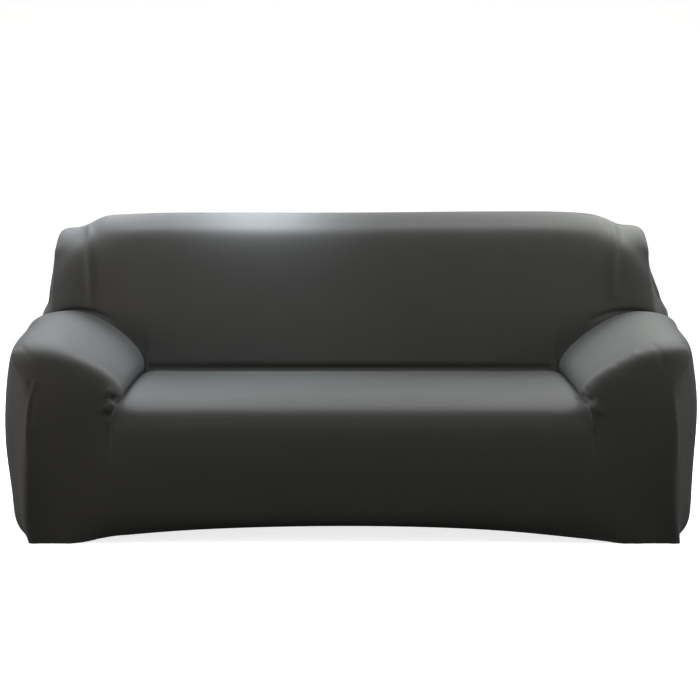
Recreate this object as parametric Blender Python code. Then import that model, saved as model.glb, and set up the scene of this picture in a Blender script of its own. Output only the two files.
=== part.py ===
"""A stretch slipcover for a three-seat sofa, in the shape that it takes when it is pulled over the sofa.

Seven sewn panels of one knit cloth form a hollow shell that is open at the hem. Metres, +Z up, X to the
right of someone who faces the sofa and Y to its back. The origin is on the floor under the middle.

Every table below gives points on the outer face of the cloth. out is the distance from the middle plane to
the side, depth is the distance behind the front face, and up is the height over the floor. The two ends of
the sofa differ a little, as they do on a cover that was pulled on by hand, so most tables have a left and a
right column.
"""

import math

import bmesh
import bpy
import numpy as np
from mathutils import Vector
from mathutils.bvhtree import BVHTree

# ---- Driving sizes ----------------------------------------------------------------------------------------

CLOTH = 0.002  # thickness of the sheet
SEAM_GAP = 0.00036  # each panel stops this far from its seam
CENTRE_OUT = 0.0088  # the origin stands this far to the right of the sofa's middle plane
CENTRE_DEPTH = 0.457  # and this far behind its front face

CHARCOAL = (0.040, 0.041, 0.042, 1.0)
ROUGHNESS = 0.85

LEFT, RIGHT = -1, 1
SEAT_SHARES = (0.0, 0.03, 0.10, 0.25, 0.5, 0.75, 0.90, 0.97, 1.0)  # the seat's columns, from tuck to tuck
ARM_COLUMNS = 5  # spans from the seat tuck over the arm to its outer seam
LOWER_ROWS = 6  # spans from the hem to the arm's outer seam
BACK_ROWS = 5  # spans from the arm's level to the top of the back
FIT_ROUNDS = 8  # rounds that bring the smooth surface to the tables' points
SOLID_LEVELS = 1  # each face of the cage is halved this many times each way
SMOOTH_LEVELS = 4
APRON_WIDER = 0.010  # the line down the front stands this far outside the end of the tuck
BACK_ROUND = 0.012  # the back's face beside its seam is this far forward of the seam
REAR_HEM_UP = 0.030
REAR_CORNER_HEM_UP = 0.008
REAR_BELLY = 0.012  # the outside back stands proud of its seams by this in its middle
TUCK_CREASE = 1.0  # how tightly the cloth folds, from 0, smooth, to 1, sharp
RIDGE_CREASE = 0.3
SEAM_CREASE = 0.5
FOLD_ENDS = 0.35  # share of a fold's rise that is left at its ends
MITRE = 1.2  # how much further a panel's edge is drawn in where it stands askew to the whole surface
SMALLEST_LEAN = 0.3
SMALLEST_SLANT = 0.5  # the inner skin's corners go no further than 1 / this thickness
SMOOTH_UNDER = math.radians(75)  # sharper edges than this are shaded as edges

# ---- Tables -----------------------------------------------------------------------------------------------

# The arm's section, as shares of its width and height, from the seat tuck over the top to the outer seam.
# It is a little fuller at the arm's front edge.
ARM_SECTION = (
    # across, rise L, R, rise at the front edge L, R
    (0.030, 0.00, 0.00, 0.00, 0.00),
    (0.000, 0.25, 0.23, 0.27, 0.25),
    (0.170, 0.60, 0.56, 0.65, 0.61),
    (0.530, 0.94, 0.92, 0.95, 0.93),
    (0.820, 1.00, 1.00, 1.00, 1.00),
)

# The same section at stations from the front edge of the arm to the back, with the outer seam that ends it.
ARM_STATIONS = (
    # depth at tuck, top and seam, tuck up, crown up L, R, inner out L, R, outer out L, R, outer up L, R
    (0.050, 0.029, 0.041, 0.421, 0.580, 0.587, 0.691, 0.702, 0.999, 1.008, 0.566, 0.575),
    (0.092, 0.073, 0.073, 0.424, 0.604, 0.607, 0.689, 0.701, 1.006, 1.012, 0.582, 0.588),
    (0.158, 0.145, 0.145, 0.425, 0.613, 0.616, 0.689, 0.701, 1.016, 1.026, 0.590, 0.595),
    (0.300, 0.300, 0.300, 0.424, 0.618, 0.620, 0.690, 0.702, 1.031, 1.045, 0.592, 0.595),
    (0.455, 0.460, 0.460, 0.422, 0.625, 0.625, 0.690, 0.702, 1.042, 1.060, 0.595, 0.597),
    (0.560, 0.570, 0.570, 0.418, 0.631, 0.631, 0.690, 0.702, 1.048, 1.070, 0.598, 0.600),
    (0.612, 0.648, 0.648, 0.408, 0.626, 0.624, 0.691, 0.703, 1.004, 1.034, 0.603, 0.603),
)

# The ridge at the outer edge of the arm's front, from the hem up to the arm's front edge.
RIDGE = (
    # out L, out R, depth, up
    (0.9675, 0.9960, 0.024, 0.000),
    (0.9765, 0.9830, 0.014, 0.080),
    (0.9735, 0.9775, 0.006, 0.190),
    (0.9680, 0.9730, 0.003, 0.310),
    (0.9615, 0.9690, 0.006, 0.420),
    (0.9720, 0.9800, 0.018, 0.515),
)

# The side of the sofa below the arm's outer seam: out at each row, at stations that go on behind the arm's.
SIDE_UP = (0.0, 0.045, 0.13, 0.26, 0.40, 0.52)
SIDE_DEPTHS = (0.073, 0.145, 0.300, 0.460, 0.570, 0.648, 0.785, 0.905)
SIDE_HEM_UP = (0.004, 0.012, 0.021, 0.024, 0.020, 0.016, 0.008, 0.000)
SIDE_OUT_LEFT = (
    # hem, up 0.045, 0.13, 0.26, 0.40, 0.52
    (0.982, 1.003, 1.014, 1.017, 1.016, 1.008),
    (1.008, 1.034, 1.042, 1.055, 1.053, 1.039),
    (1.024, 1.056, 1.071, 1.079, 1.077, 1.063),
    (1.028, 1.060, 1.075, 1.081, 1.080, 1.070),
    (1.025, 1.056, 1.071, 1.074, 1.073, 1.066),
    (1.020, 1.052, 1.065, 1.068, 1.066, 1.055),
    (1.008, 1.036, 1.048, 1.052, 1.058, 1.066),
    (0.992, 1.006, 1.012, 1.014, 1.014, 1.013),
)
SIDE_OUT_RIGHT = (
    # hem, up 0.045, 0.13, 0.26, 0.40, 0.52
    (0.998, 1.015, 1.023, 1.025, 1.025, 1.017),
    (1.022, 1.048, 1.053, 1.058, 1.061, 1.047),
    (1.036, 1.064, 1.077, 1.080, 1.083, 1.069),
    (1.040, 1.069, 1.081, 1.084, 1.087, 1.072),
    (1.039, 1.068, 1.080, 1.082, 1.084, 1.073),
    (1.036, 1.066, 1.078, 1.080, 1.081, 1.067),
    (1.032, 1.059, 1.071, 1.076, 1.082, 1.090),
    (0.996, 1.010, 1.016, 1.018, 1.018, 1.017),
)

# The side of the back above the arm: its front seam, its middle and its rear seam.
BACK_SIDE = (
    # up, front out L, R, middle out L, R, rear out L, R, front depth
    (0.603, 1.004, 1.034, 1.055, 1.090, 1.011, 1.014, 0.648),
    (0.640, 1.001, 1.023, 1.037, 1.075, 1.006, 1.009, 0.653),
    (0.682, 0.999, 1.016, 1.024, 1.055, 1.003, 1.005, 0.658),
    (0.738, 0.996, 1.009, 1.011, 1.027, 1.000, 1.001, 0.667),
    (0.797, 0.993, 1.003, 1.002, 1.012, 0.996, 0.998, 0.684),
    (0.866, 0.984, 0.985, 0.989, 0.993, 0.984, 0.985, 0.700),
)
BACK_SIDE_MIDDLE_DEPTH = 0.785
REAR_DEPTH = 0.905

# The line along the top of the back, from the middle plane to the side seam.
BACK_TOP = (
    # out L, R, crown up L, R, set back, share of the strip's drop
    (0.000, 0.000, 0.947, 0.947, 0.000, 1.00),
    (0.350, 0.350, 0.947, 0.950, 0.000, 1.00),
    (0.560, 0.560, 0.947, 0.951, 0.000, 1.00),
    (0.655, 0.655, 0.946, 0.951, 0.000, 1.00),
    (0.705, 0.705, 0.944, 0.950, 0.000, 1.00),
    (0.775, 0.775, 0.941, 0.947, 0.001, 1.00),
    (0.838, 0.838, 0.934, 0.9385, 0.003, 1.00),
    (0.888, 0.888, 0.911, 0.9205, 0.005, 1.00),
    (0.935, 0.935, 0.8965, 0.905, 0.005, 1.00),
    (0.988, 0.998, 0.880, 0.888, 0.002, 0.85),
)
TOP_STRIP = (
    # depth, drop below the crown, inset at the ends: the front round-over, the crown and the rear seam
    (0.708, 0.0335, 0.006),
    (0.785, 0.0, 0.0),
    (0.868, 0.034, 0.002),
)

# The inside of the back between the tuck and the round-over: how far up, and how far it bellies forward.
BACK_ROW_SHARES = (
    # share of the way up to the last row, forward of the straight line up the back
    (0.045, 0.003),
    (0.27, 0.0125),
    (0.66, 0.027),
    (1.00, 0.030),
)
BACK_LAST_DROP = 0.058  # the last row stands this far below the round-over
BACK_FORWARD = (
    # out, share of the forward belly
    (0.000, 1.00),
    (0.800, 1.00),
    (0.880, 1.15),
    (0.930, 1.20),
    (1.000, 0.60),
)
BACK_SPRING = 0.18  # how strongly the back's cloth leaves its tuck square to it

# The apron and the arms' fronts: height on the line below the seat tuck, and depth of the row.
FRONT_ROWS = (
    # up, depth
    (0.020, 0.018),
    (0.090, 0.004),
    (0.180, 0.000),
    (0.255, 0.000),
    (0.335, 0.007),
    (0.379, 0.0195),
)
ARM_FRONT_ROWS = (
    # share of the height up to the last row, depth in the middle of the arm's front
    (0.00, 0.026),
    (0.19, 0.013),
    (0.42, 0.004),
    (0.64, 0.000),
    (0.85, 0.002),
    (1.00, 0.013),
)
ARM_FRONT_DROP = 0.045  # the last row stands this far below the arm's front edge
APRON_SHARES = (1.0, 0.8, 0.35, 0.0, 0.0)  # how far each column of the arm's front keeps the apron's depth
APRON_HEM = (
    # x, up: the elastic lifts the hem in the middle, and it reaches the floor near the corners
    (-0.83, 0.000),
    (-0.72, 0.024),
    (-0.47, 0.046),
    (-0.24, 0.053),
    (0.00, 0.056),
    (0.24, 0.053),
    (0.47, 0.042),
    (0.72, 0.015),
    (0.83, 0.000),
)
# The seat from its front edge to the tuck.
SEAT_ROWS = (
    # depth, up
    (0.040, 0.408),
    (0.088, 0.4285),
    (0.160, 0.438),
    (0.300, 0.441),
    (0.455, 0.440),
    (0.562, 0.436),
    (0.612, 0.408),
)


# Where the cloth folds in short lengths, so its faces are smaller.
FINER_PLACES = (
    # x, depth, up, radius
    (-0.712, 0.035, 0.430, 0.110),
    (-0.712, 0.035, 0.425, 0.060),
    (0.722, 0.035, 0.430, 0.110),
    (0.722, 0.035, 0.425, 0.055),
    (-0.965, 0.020, 0.500, 0.100),
    (-1.010, 0.740, 0.700, 0.120),
    (1.030, 0.740, 0.700, 0.130),
)

# The main folds and troughs on the cloth: a straight line from start to end, its half width, and its rise.
FOLDS = (
    # start (x, depth, up), end (x, depth, up), half width, rise
    ((-0.703, 0.042, 0.438), (-0.714, 0.018, 0.442), 0.010, -0.010),
    ((-0.690, 0.028, 0.428), (-0.738, 0.006, 0.412), 0.012, 0.006),
    ((-0.728, 0.010, 0.400), (-0.704, 0.004, 0.388), 0.009, -0.004),
    ((-0.726, 0.020, 0.452), (-0.716, 0.024, 0.476), 0.009, 0.004),
    ((0.712, 0.042, 0.438), (0.728, 0.016, 0.436), 0.011, -0.009),
    ((0.700, 0.030, 0.427), (0.752, 0.006, 0.404), 0.013, 0.005),
    ((0.700, 0.032, 0.470), (0.726, 0.012, 0.450), 0.009, -0.003),
    ((-0.944, 0.006, 0.492), (-0.951, 0.006, 0.370), 0.011, -0.005),
    ((-1.035, 0.705, 0.615), (-0.998, 0.715, 0.800), 0.012, 0.006),
    ((-1.040, 0.760, 0.640), (-1.000, 0.755, 0.760), 0.012, -0.005),
    ((1.075, 0.705, 0.610), (1.010, 0.715, 0.790), 0.013, 0.007),
    ((1.085, 0.765, 0.630), (1.020, 0.755, 0.760), 0.013, -0.006),
)


def unit(vectors):
    return vectors / np.maximum(np.linalg.norm(vectors, axis=-1, keepdims=True), 1e-12)


def side_value(side, left, right):
    return left if side == LEFT else right


def placed(side, out, depth, up):
    return (side * out, depth, up)


# ---- Lines of the cage ------------------------------------------------------------------------------------


def arm_line(side, station):
    """The arm's section at one station, from the seat tuck to the outer seam."""
    tuck_depth, top_depth, seam_depth, tuck_up, *ends = ARM_STATIONS[station]
    crown, inner, outer, seam_up = ends[0::2] if side == LEFT else ends[1::2]
    points = []
    for across, rise_l, rise_r, front_l, front_r in ARM_SECTION:
        rise = side_value(side, front_l, front_r) if station == 0 else side_value(side, rise_l, rise_r)
        out = inner + across * (outer - inner)
        depth = tuck_depth + (top_depth - tuck_depth) * rise
        points.append(placed(side, out, depth, tuck_up + rise * (crown - tuck_up)))
    return np.array(points + [placed(side, outer, seam_depth, seam_up)])


def ridge_line(side):
    points = [placed(side, side_value(side, left, right), depth, up) for left, right, depth, up in RIDGE]
    return np.array(points + [arm_line(side, 0)[-1]])


def side_line(side, station):
    """The side panel's column at a station behind the ridge, from the hem to below the arm's outer seam."""
    outs = side_value(side, SIDE_OUT_LEFT, SIDE_OUT_RIGHT)[station]
    points = []
    for row, out in enumerate(outs):
        up = SIDE_UP[row] if row else SIDE_HEM_UP[station]
        points.append(placed(side, out, SIDE_DEPTHS[station], up))
    return np.array(points)


def back_side_line(side, column):
    """The back's side above the arm, from the arm's level up: column 0 is the front seam, 2 the rear seam."""
    points = []
    for up, fl, fr, ml, mr, rl, rr, front_depth in BACK_SIDE:
        out = side_value(side, (fl, ml, rl)[column], (fr, mr, rr)[column])
        depth = (front_depth, BACK_SIDE_MIDDLE_DEPTH, REAR_DEPTH)[column]
        points.append(placed(side, out, depth, up))
    points[-1] = tuple(top_row(column)[0 if side == LEFT else -1])
    return np.array(points)


def top_row(strip_row):
    """One row across the top of the back, from the left side seam to the right one."""
    depth, drop, inset = TOP_STRIP[strip_row]
    rear = strip_row == len(TOP_STRIP) - 1
    points = []
    for side in (LEFT, RIGHT):
        half = []
        for out_l, out_r, up_l, up_r, set_back, drop_share in BACK_TOP:
            out = side_value(side, out_l, out_r)
            back = 0.0 if rear else set_back
            up = side_value(side, up_l, up_r) - drop * drop_share
            half.append(placed(side, out, depth + back, up))
        half[-1] = (half[-1][0] - side * inset, *half[-1][1:])
        points += half[:0:-1] if side == LEFT else half
    return np.array(points)


def seat_line(row):
    """One row across the seat, between the arms' tucks."""
    depth, up = SEAT_ROWS[row]
    left = arm_line(LEFT, row)[0]
    right = arm_line(RIGHT, row)[0]
    points = np.array([(left[0] + share * (right[0] - left[0]), depth, up) for share in SEAT_SHARES])
    points[0], points[-1] = left, right
    return points


def coons(bottom, top, left, right):
    """The grid between four lines that share their ends: rows from bottom up, columns from left to right."""
    rows, columns = len(left), len(bottom)
    s = np.linspace(0, 1, columns)[None, :, None]
    t = np.linspace(0, 1, rows)[:, None, None]
    across = (1 - s) * left[:, None, :] + s * right[:, None, :]
    along = (1 - t) * bottom[None] + t * top[None]
    low = (1 - s) * bottom[0] + s * bottom[-1]
    high = (1 - s) * top[0] + s * top[-1]
    grid = across + along - (1 - t) * low - t * high
    grid[0], grid[-1] = bottom, top
    grid[:, 0], grid[:, -1] = left, right
    return grid


# ---- Grids of the panels ----------------------------------------------------------------------------------


def apron_edge(side):
    """The line down the front below the seat tuck, where the apron goes on as the arm's front."""
    tuck = arm_line(side, 0)[0]
    x = tuck[0] + side * APRON_WIDER
    points = [(x, depth, up) for up, depth in FRONT_ROWS]
    points[0] = (x, FRONT_ROWS[0][1], hem_up(x))
    return np.array(points + [tuple(tuck)])


def hem_up(x):
    xs = [row[0] for row in APRON_HEM]
    ups = [row[1] for row in APRON_HEM]
    return float(np.interp(x, xs, ups))


def arm_front_grid(side):
    inner = apron_edge(side)
    outer = ridge_line(side)
    top = arm_line(side, 0)
    bottom = np.linspace(inner[0], outer[0], ARM_COLUMNS + 1)
    bottom[1:-1, 2] = [hem_up(x) for x in bottom[1:-1, 0]]
    grid = coons(bottom, top, inner, outer)
    height = top[1:-1, 2] - ARM_FRONT_DROP - bottom[1:-1, 2]
    for row in range(1, LOWER_ROWS):
        share, depth = ARM_FRONT_ROWS[row]
        up = bottom[1:-1, 2] + share * height
        kept = np.array(APRON_SHARES[1:])
        grid[row, 1:-1, 1] = kept * np.interp(up, inner[:-1, 2], inner[:-1, 1]) + (1 - kept) * depth
        grid[row, 1:-1, 2] = up
    return grid


def apron_grid():
    left, right = apron_edge(LEFT), apron_edge(RIGHT)
    top = seat_line(0)
    bottom = left[0] + np.array(SEAT_SHARES)[:, None] * (right[0] - left[0])
    bottom[1:-1, 2] = [hem_up(x) for x in bottom[1:-1, 0]]
    grid = coons(bottom, top, left, right)
    for row in range(1, LOWER_ROWS):
        up, depth = FRONT_ROWS[row]
        grid[row, 1:-1, 1] = depth
        grid[row, 1:-1, 2] = up
    return grid


def seat_grid():
    return np.array([seat_line(row) for row in range(len(SEAT_ROWS))])


def arm_grid(side):
    return np.array([arm_line(side, station) for station in range(len(ARM_STATIONS))])


def away_from(line):
    """At each point of the tuck under the back, the step up and inwards to a line one unit away from it."""
    way = np.diff(line, axis=0)
    square = unit(np.column_stack([-way[:, 2], np.zeros(len(way)), way[:, 0]]))
    before = np.vstack([square[:1], square])
    after = np.vstack([square, square[-1:]])
    return (before + after) / (1 + (before * after).sum(1))[:, None]


def inside_back_grid():
    """From the tuck along the seat and the arms, up the inside of the back and over it to the rear seam."""
    last = len(ARM_STATIONS) - 1
    seat = seat_line(last)
    bottom = np.vstack([arm_line(LEFT, last)[::-1], seat[1:-1], arm_line(RIGHT, last)])
    front_top = top_row(0)
    height = np.linalg.norm(front_top - bottom, axis=1)[:, None]
    away = away_from(bottom)
    away[1:-1] = (away[:-2] + 2 * away[1:-1] + away[2:]) / 4
    leaving = away * height * BACK_SPRING
    rows = [bottom]
    for share, forward in BACK_ROW_SHARES:
        rise = share * (1 - BACK_LAST_DROP / height)
        row = bottom + rise * (front_top - bottom) + np.sqrt(rise) * (1 - rise) * leaving
        straight = (row[:, 2] - bottom[:, 2]) / (front_top[:, 2] - bottom[:, 2])
        row[:, 1] = bottom[:, 1] + straight * (front_top[:, 1] - bottom[:, 1])
        row[:, 1] -= forward * np.interp(np.abs(row[:, 0]), *np.transpose(BACK_FORWARD))
        for _ in range(len(rows) - 1):
            row[2:-2] += (row[1:-3] - 2 * row[2:-2] + row[3:-1]) / 4
        rows.append(row)
    rows += [front_top, top_row(1), top_row(2)]
    grid = np.array(rows)
    for side, column in ((LEFT, 0), (RIGHT, -1)):
        grid[: BACK_ROWS + 1, column] = back_side_line(side, 0)
    for side, column in ((LEFT, 1), (RIGHT, -2)):
        seam = back_side_line(side, 0)[1:-1]
        for row in range(1, BACK_ROWS):
            grid[row, column, 1] = seam[row - 1, 1] - BACK_ROUND
    return grid


def side_grid(side):
    """The side below the arm's outer seam, from the front ridge to the rear corner."""
    seam = arm_grid(side)[:, -1]
    columns = [ridge_line(side)]
    for station in range(len(SIDE_DEPTHS)):
        column = side_line(side, station)
        if station + 1 < len(seam):
            top = seam[station + 1]
        else:
            top = back_side_line(side, station - len(seam) + 2)[0]
        columns.append(np.vstack([column, top]))
    return np.array(columns).transpose(1, 0, 2)


def back_side_grid(side):
    return np.array([back_side_line(side, column) for column in range(3)]).transpose(1, 0, 2)


def outside_back_grid():
    left = np.vstack([side_grid(LEFT)[:, -1], back_side_grid(LEFT)[1:, -1]])
    right = np.vstack([side_grid(RIGHT)[:, -1], back_side_grid(RIGHT)[1:, -1]])
    top = top_row(2)
    bottom = top.copy()
    bottom[:, 1:] = REAR_DEPTH, REAR_HEM_UP
    bottom[0], bottom[-1] = left[0], right[0]
    bottom[1, 2] = bottom[-2, 2] = REAR_CORNER_HEM_UP
    bottom[1:-1, 0] *= left[0, 0] / top[0, 0]
    grid = coons(bottom, top, left, right)
    rows = len(left)
    for row in range(1, rows - 1):
        belly = REAR_BELLY * math.sin(math.pi * row / rows)
        grid[row, 1:-1, 1] = REAR_DEPTH + belly
    return grid


# ---- The cage and its smooth surface ----------------------------------------------------------------------

PANELS = (
    "front_seat_panel",
    "inside_back_panel",
    "outside_back_panel",
    "arm_panel_left",
    "arm_panel_right",
    "side_panel_left",
    "side_panel_right",
)


class Cage:
    """Quads with shared corners, each marked with its panel."""

    def __init__(self):
        self.points = []
        self.index = {}
        self.faces = []
        self.marks = []

    def vertex(self, point):
        key = tuple(round(float(c), 6) for c in point)
        if key not in self.index:
            self.index[key] = len(self.points)
            self.points.append(key)
        return self.index[key]

    def add(self, panel, grid):
        ids = [[self.vertex(point) for point in row] for row in grid]
        for low, high in zip(ids, ids[1:]):
            for i in range(len(low) - 1):
                self.faces.append((low[i], low[i + 1], high[i + 1], high[i]))
                self.marks.append(PANELS.index(panel))

    def edges(self, line):
        ids = [self.vertex(point) for point in line]
        return {tuple(sorted(pair)) for pair in zip(ids, ids[1:])}


def whole_cage():
    cage = Cage()
    cage.add("front_seat_panel", apron_grid())
    cage.add("front_seat_panel", seat_grid())
    cage.add("inside_back_panel", inside_back_grid())
    cage.add("outside_back_panel", outside_back_grid())
    for side, name in ((LEFT, "left"), (RIGHT, "right")):
        cage.add("front_seat_panel", arm_front_grid(side))
        cage.add("arm_panel_" + name, arm_grid(side))
        cage.add("side_panel_" + name, side_grid(side))
        cage.add("side_panel_" + name, back_side_grid(side))
    return cage


def creases(cage):
    """How sharply the cloth folds along its seams, from 0, smooth, to 1, sharp."""
    found = {}
    last = len(ARM_STATIONS) - 1
    lines = [(seat_line(last), TUCK_CREASE)]
    for side in (LEFT, RIGHT):
        lines.append((arm_grid(side)[:, 0], TUCK_CREASE))
        lines.append((arm_line(side, last), TUCK_CREASE))
        lines.append((ridge_line(side), RIDGE_CREASE))
        lines.append((back_side_line(side, 0), SEAM_CREASE))
    for line, sharpness in lines:
        for edge in cage.edges(line):
            found[edge] = sharpness
    return found


def mesh_of(cage):
    mesh = bpy.data.meshes.new("cage")
    mesh.from_pydata(cage.points, [], cage.faces)
    mesh.polygons.foreach_set("material_index", cage.marks)
    bm = bmesh.new()
    bm.from_mesh(mesh)
    bmesh.ops.recalc_face_normals(bm, faces=bm.faces[:])
    crease = bm.edges.layers.float.new("crease_edge")
    sharp = creases(cage)
    for edge in bm.edges:
        key = tuple(sorted(v.index for v in edge.verts))
        edge[crease] = sharp.get(key, 0.0)
    bm.to_mesh(mesh)
    bm.free()
    return mesh


def smooth_points(obj):
    """Where the smooth surface is at each corner of the cage."""
    bpy.context.view_layer.update()
    evaluated = obj.evaluated_get(bpy.context.evaluated_depsgraph_get())
    found = np.empty(len(evaluated.data.vertices) * 3)
    evaluated.data.vertices.foreach_get("co", found)
    return found.reshape(-1, 3)[: len(obj.data.vertices)]


def fitted_cage(levels):
    """The cage, moved until its smooth surface passes through the tables' points."""
    cage = whole_cage()
    obj = bpy.data.objects.new("cage", mesh_of(cage))
    bpy.context.scene.collection.objects.link(obj)
    smooth = obj.modifiers.new("smooth", "SUBSURF")
    smooth.levels = smooth.render_levels = levels
    wanted = np.array(cage.points)
    corners = wanted.copy()
    for _ in range(FIT_ROUNDS):
        corners += wanted - smooth_points(obj)
        obj.data.vertices.foreach_set("co", corners.ravel())
        obj.data.update()
    return obj


def finer(bm, places):
    """Halves the faces around each place, which is a centre and a radius."""
    for centre, radius in places:
        near = [edge for edge in bm.edges if all((v.co - centre).length < radius for v in edge.verts)]
        bmesh.ops.subdivide_edges(bm, edges=near, cuts=1, use_grid_fill=True)


def plainer(bm, mark, corners):
    """Takes the halfway points back out of one panel's flat middle, and leaves those along its seams."""
    inner = [v for v in bm.verts if not v.is_boundary and {f.material_index for f in v.link_faces} == {mark}]
    added = [v for v in inner if v.index >= corners]
    middles = [v for v in added if all(e.other_vert(v).index >= corners for e in v.link_edges)]
    halfway = [v for v in added if v not in set(middles)]
    bmesh.ops.dissolve_verts(bm, verts=middles)
    bmesh.ops.dissolve_verts(bm, verts=halfway)


def shell_mesh(obj):
    """The faceted surface of the whole cover, finer where it folds, before it is cut into panels."""
    graph = bpy.context.evaluated_depsgraph_get()
    coarse = bpy.data.meshes.new_from_object(obj.evaluated_get(graph))
    smooth = obj.modifiers["smooth"]
    smooth.levels = smooth.render_levels = SMOOTH_LEVELS
    bpy.context.view_layer.update()
    surface = BVHTree.FromObject(obj, bpy.context.evaluated_depsgraph_get())
    bm = bmesh.new()
    bm.from_mesh(coarse)
    bm.verts.ensure_lookup_table()
    plainer(bm, PANELS.index("outside_back_panel"), len(obj.data.vertices))
    finer(bm, [(Vector((x, depth, up)), radius) for x, depth, up, radius in FINER_PLACES])
    for vertex in bm.verts:
        vertex.co = surface.find_nearest(vertex.co)[0]
    bmesh.ops.triangulate(bm, faces=bm.faces[:], quad_method="SHORT_EDGE")
    bm.to_mesh(coarse)
    bm.free()
    return coarse


def arrays_of(mesh):
    points = np.empty(len(mesh.vertices) * 3)
    mesh.vertices.foreach_get("co", points)
    faces = np.empty(len(mesh.polygons) * 3, int)
    mesh.polygons.foreach_get("vertices", faces)
    marks = np.empty(len(mesh.polygons), int)
    mesh.polygons.foreach_get("material_index", marks)
    return points.reshape(-1, 3), faces.reshape(-1, 3), marks


def corner_normals(points, faces):
    """The mean direction that the surface faces at each corner, by the angle of each face there."""
    a, b, c = (points[faces[:, i]] for i in range(3))
    facing = unit(np.cross(b - a, c - a))
    found = np.zeros_like(points)
    for i in range(3):
        here, ahead, behind = (points[faces[:, (i + k) % 3]] for k in range(3))
        angle = np.arccos(np.clip((unit(ahead - here) * unit(behind - here)).sum(1), -1, 1))
        np.add.at(found, faces[:, i], facing * angle[:, None])
    return unit(found)


def along(points, start, end):
    """How far each point is from a straight line, and its share of the way along it."""
    start, end = np.array(start), np.array(end)
    way = end - start
    share = np.clip((points - start) @ way / (way @ way), 0, 1)
    return np.linalg.norm(points - (start + share[:, None] * way), axis=1), share


def folded(points, faces):
    """Raises each fold and sinks each trough of the cloth, most in the middle of its length."""
    facing = corner_normals(points, faces)
    moved = points.copy()
    for start, end, half_width, rise in FOLDS:
        away, share = along(points, start, end)
        across = np.exp(-((away / half_width) ** 2))
        middle = FOLD_ENDS + (1 - FOLD_ENDS) * np.sin(math.pi * share)
        moved += facing * (rise * across * middle)[:, None]
    return moved


def panel_arrays(points, facing, faces):
    """One panel as a closed sheet: its outer and inner faces, and the narrow wall around its edge."""
    used, local = np.unique(faces, return_inverse=True)
    local = local.reshape(-1, 3)
    outer, facing = points[used], facing[used]
    own = corner_normals(outer, local)
    ends = np.concatenate([local[:, [0, 1]], local[:, [1, 2]], local[:, [2, 0]]])
    backwards = {(b, a) for a, b in ends}
    rim = [(a, b) for a, b in ends if (a, b) not in backwards]
    inward = np.zeros_like(outer)
    for a, b in rim:
        way = unit(outer[b] - outer[a])
        inward[a] += np.cross(own[a], way)
        inward[b] += np.cross(own[b], way)
    drawn = unit(inward)
    lean = np.linalg.norm(drawn - (drawn * facing).sum(1)[:, None] * facing, axis=1)
    outer = outer + drawn * (SEAM_GAP * MITRE / np.maximum(lean, SMALLEST_LEAN))[:, None]
    slant = np.clip((own * facing).sum(1), SMALLEST_SLANT, 1.0)
    inner = outer - facing * (CLOTH / slant)[:, None]
    count = len(outer)
    walls = []
    for a, b in rim:
        if used[a] < used[b]:
            walls += [(b, a, b + count), (a, a + count, b + count)]
        else:
            walls += [(b, a, a + count), (b, a + count, b + count)]
    return np.vstack([outer, inner]), np.vstack([local, local[:, ::-1] + count, walls])


def knit_material(name):
    material = bpy.data.materials.new(name)
    material.use_nodes = True
    shader = material.node_tree.nodes["Principled BSDF"]
    shader.inputs["Base Color"].default_value = CHARCOAL
    shader.inputs["Roughness"].default_value = ROUGHNESS
    shader.inputs["Metallic"].default_value = 0.0
    material.diffuse_color = CHARCOAL
    return material


def add_panel(name, points, faces):
    mesh = bpy.data.meshes.new(name)
    mesh.from_pydata(points.tolist(), [], faces.tolist())
    mesh.materials.append(knit_material(name + "_knit"))
    mesh.shade_smooth()
    mesh.set_sharp_from_angle(angle=SMOOTH_UNDER)
    bpy.context.scene.collection.objects.link(bpy.data.objects.new(name, mesh))


def main():
    for old in list(bpy.data.objects):
        bpy.data.objects.remove(old)
    cage = fitted_cage(SOLID_LEVELS)
    points, faces, marks = arrays_of(shell_mesh(cage))
    bpy.data.objects.remove(cage)
    points = folded(points, faces)
    facing = corner_normals(points, faces)
    points -= np.array([CENTRE_OUT, CENTRE_DEPTH, 0.0])
    points[:, 2] = np.maximum(points[:, 2], 0.0)
    for mark, name in enumerate(PANELS):
        add_panel(name, *panel_arrays(points, facing, faces[marks == mark]))


main()
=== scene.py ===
"""A stretch slipcover for a three-seat sofa: seven panels of dark knit cloth, pulled tight over the sofa.

Metres, +Z up, X to the right of someone who faces the sofa and Y to its back. The tables give points on the
outer face of the cloth: out is the distance from the middle plane to the side, depth the distance behind the
front face, and up the height over the floor. Most of them have a left and a right column, because the two
ends differ a little.
"""

import functools
import math

import bmesh
import bpy
import numpy as np
from bpy.props import FloatProperty, FloatVectorProperty, PointerProperty
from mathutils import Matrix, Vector
from mathutils.bvhtree import BVHTree


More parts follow.
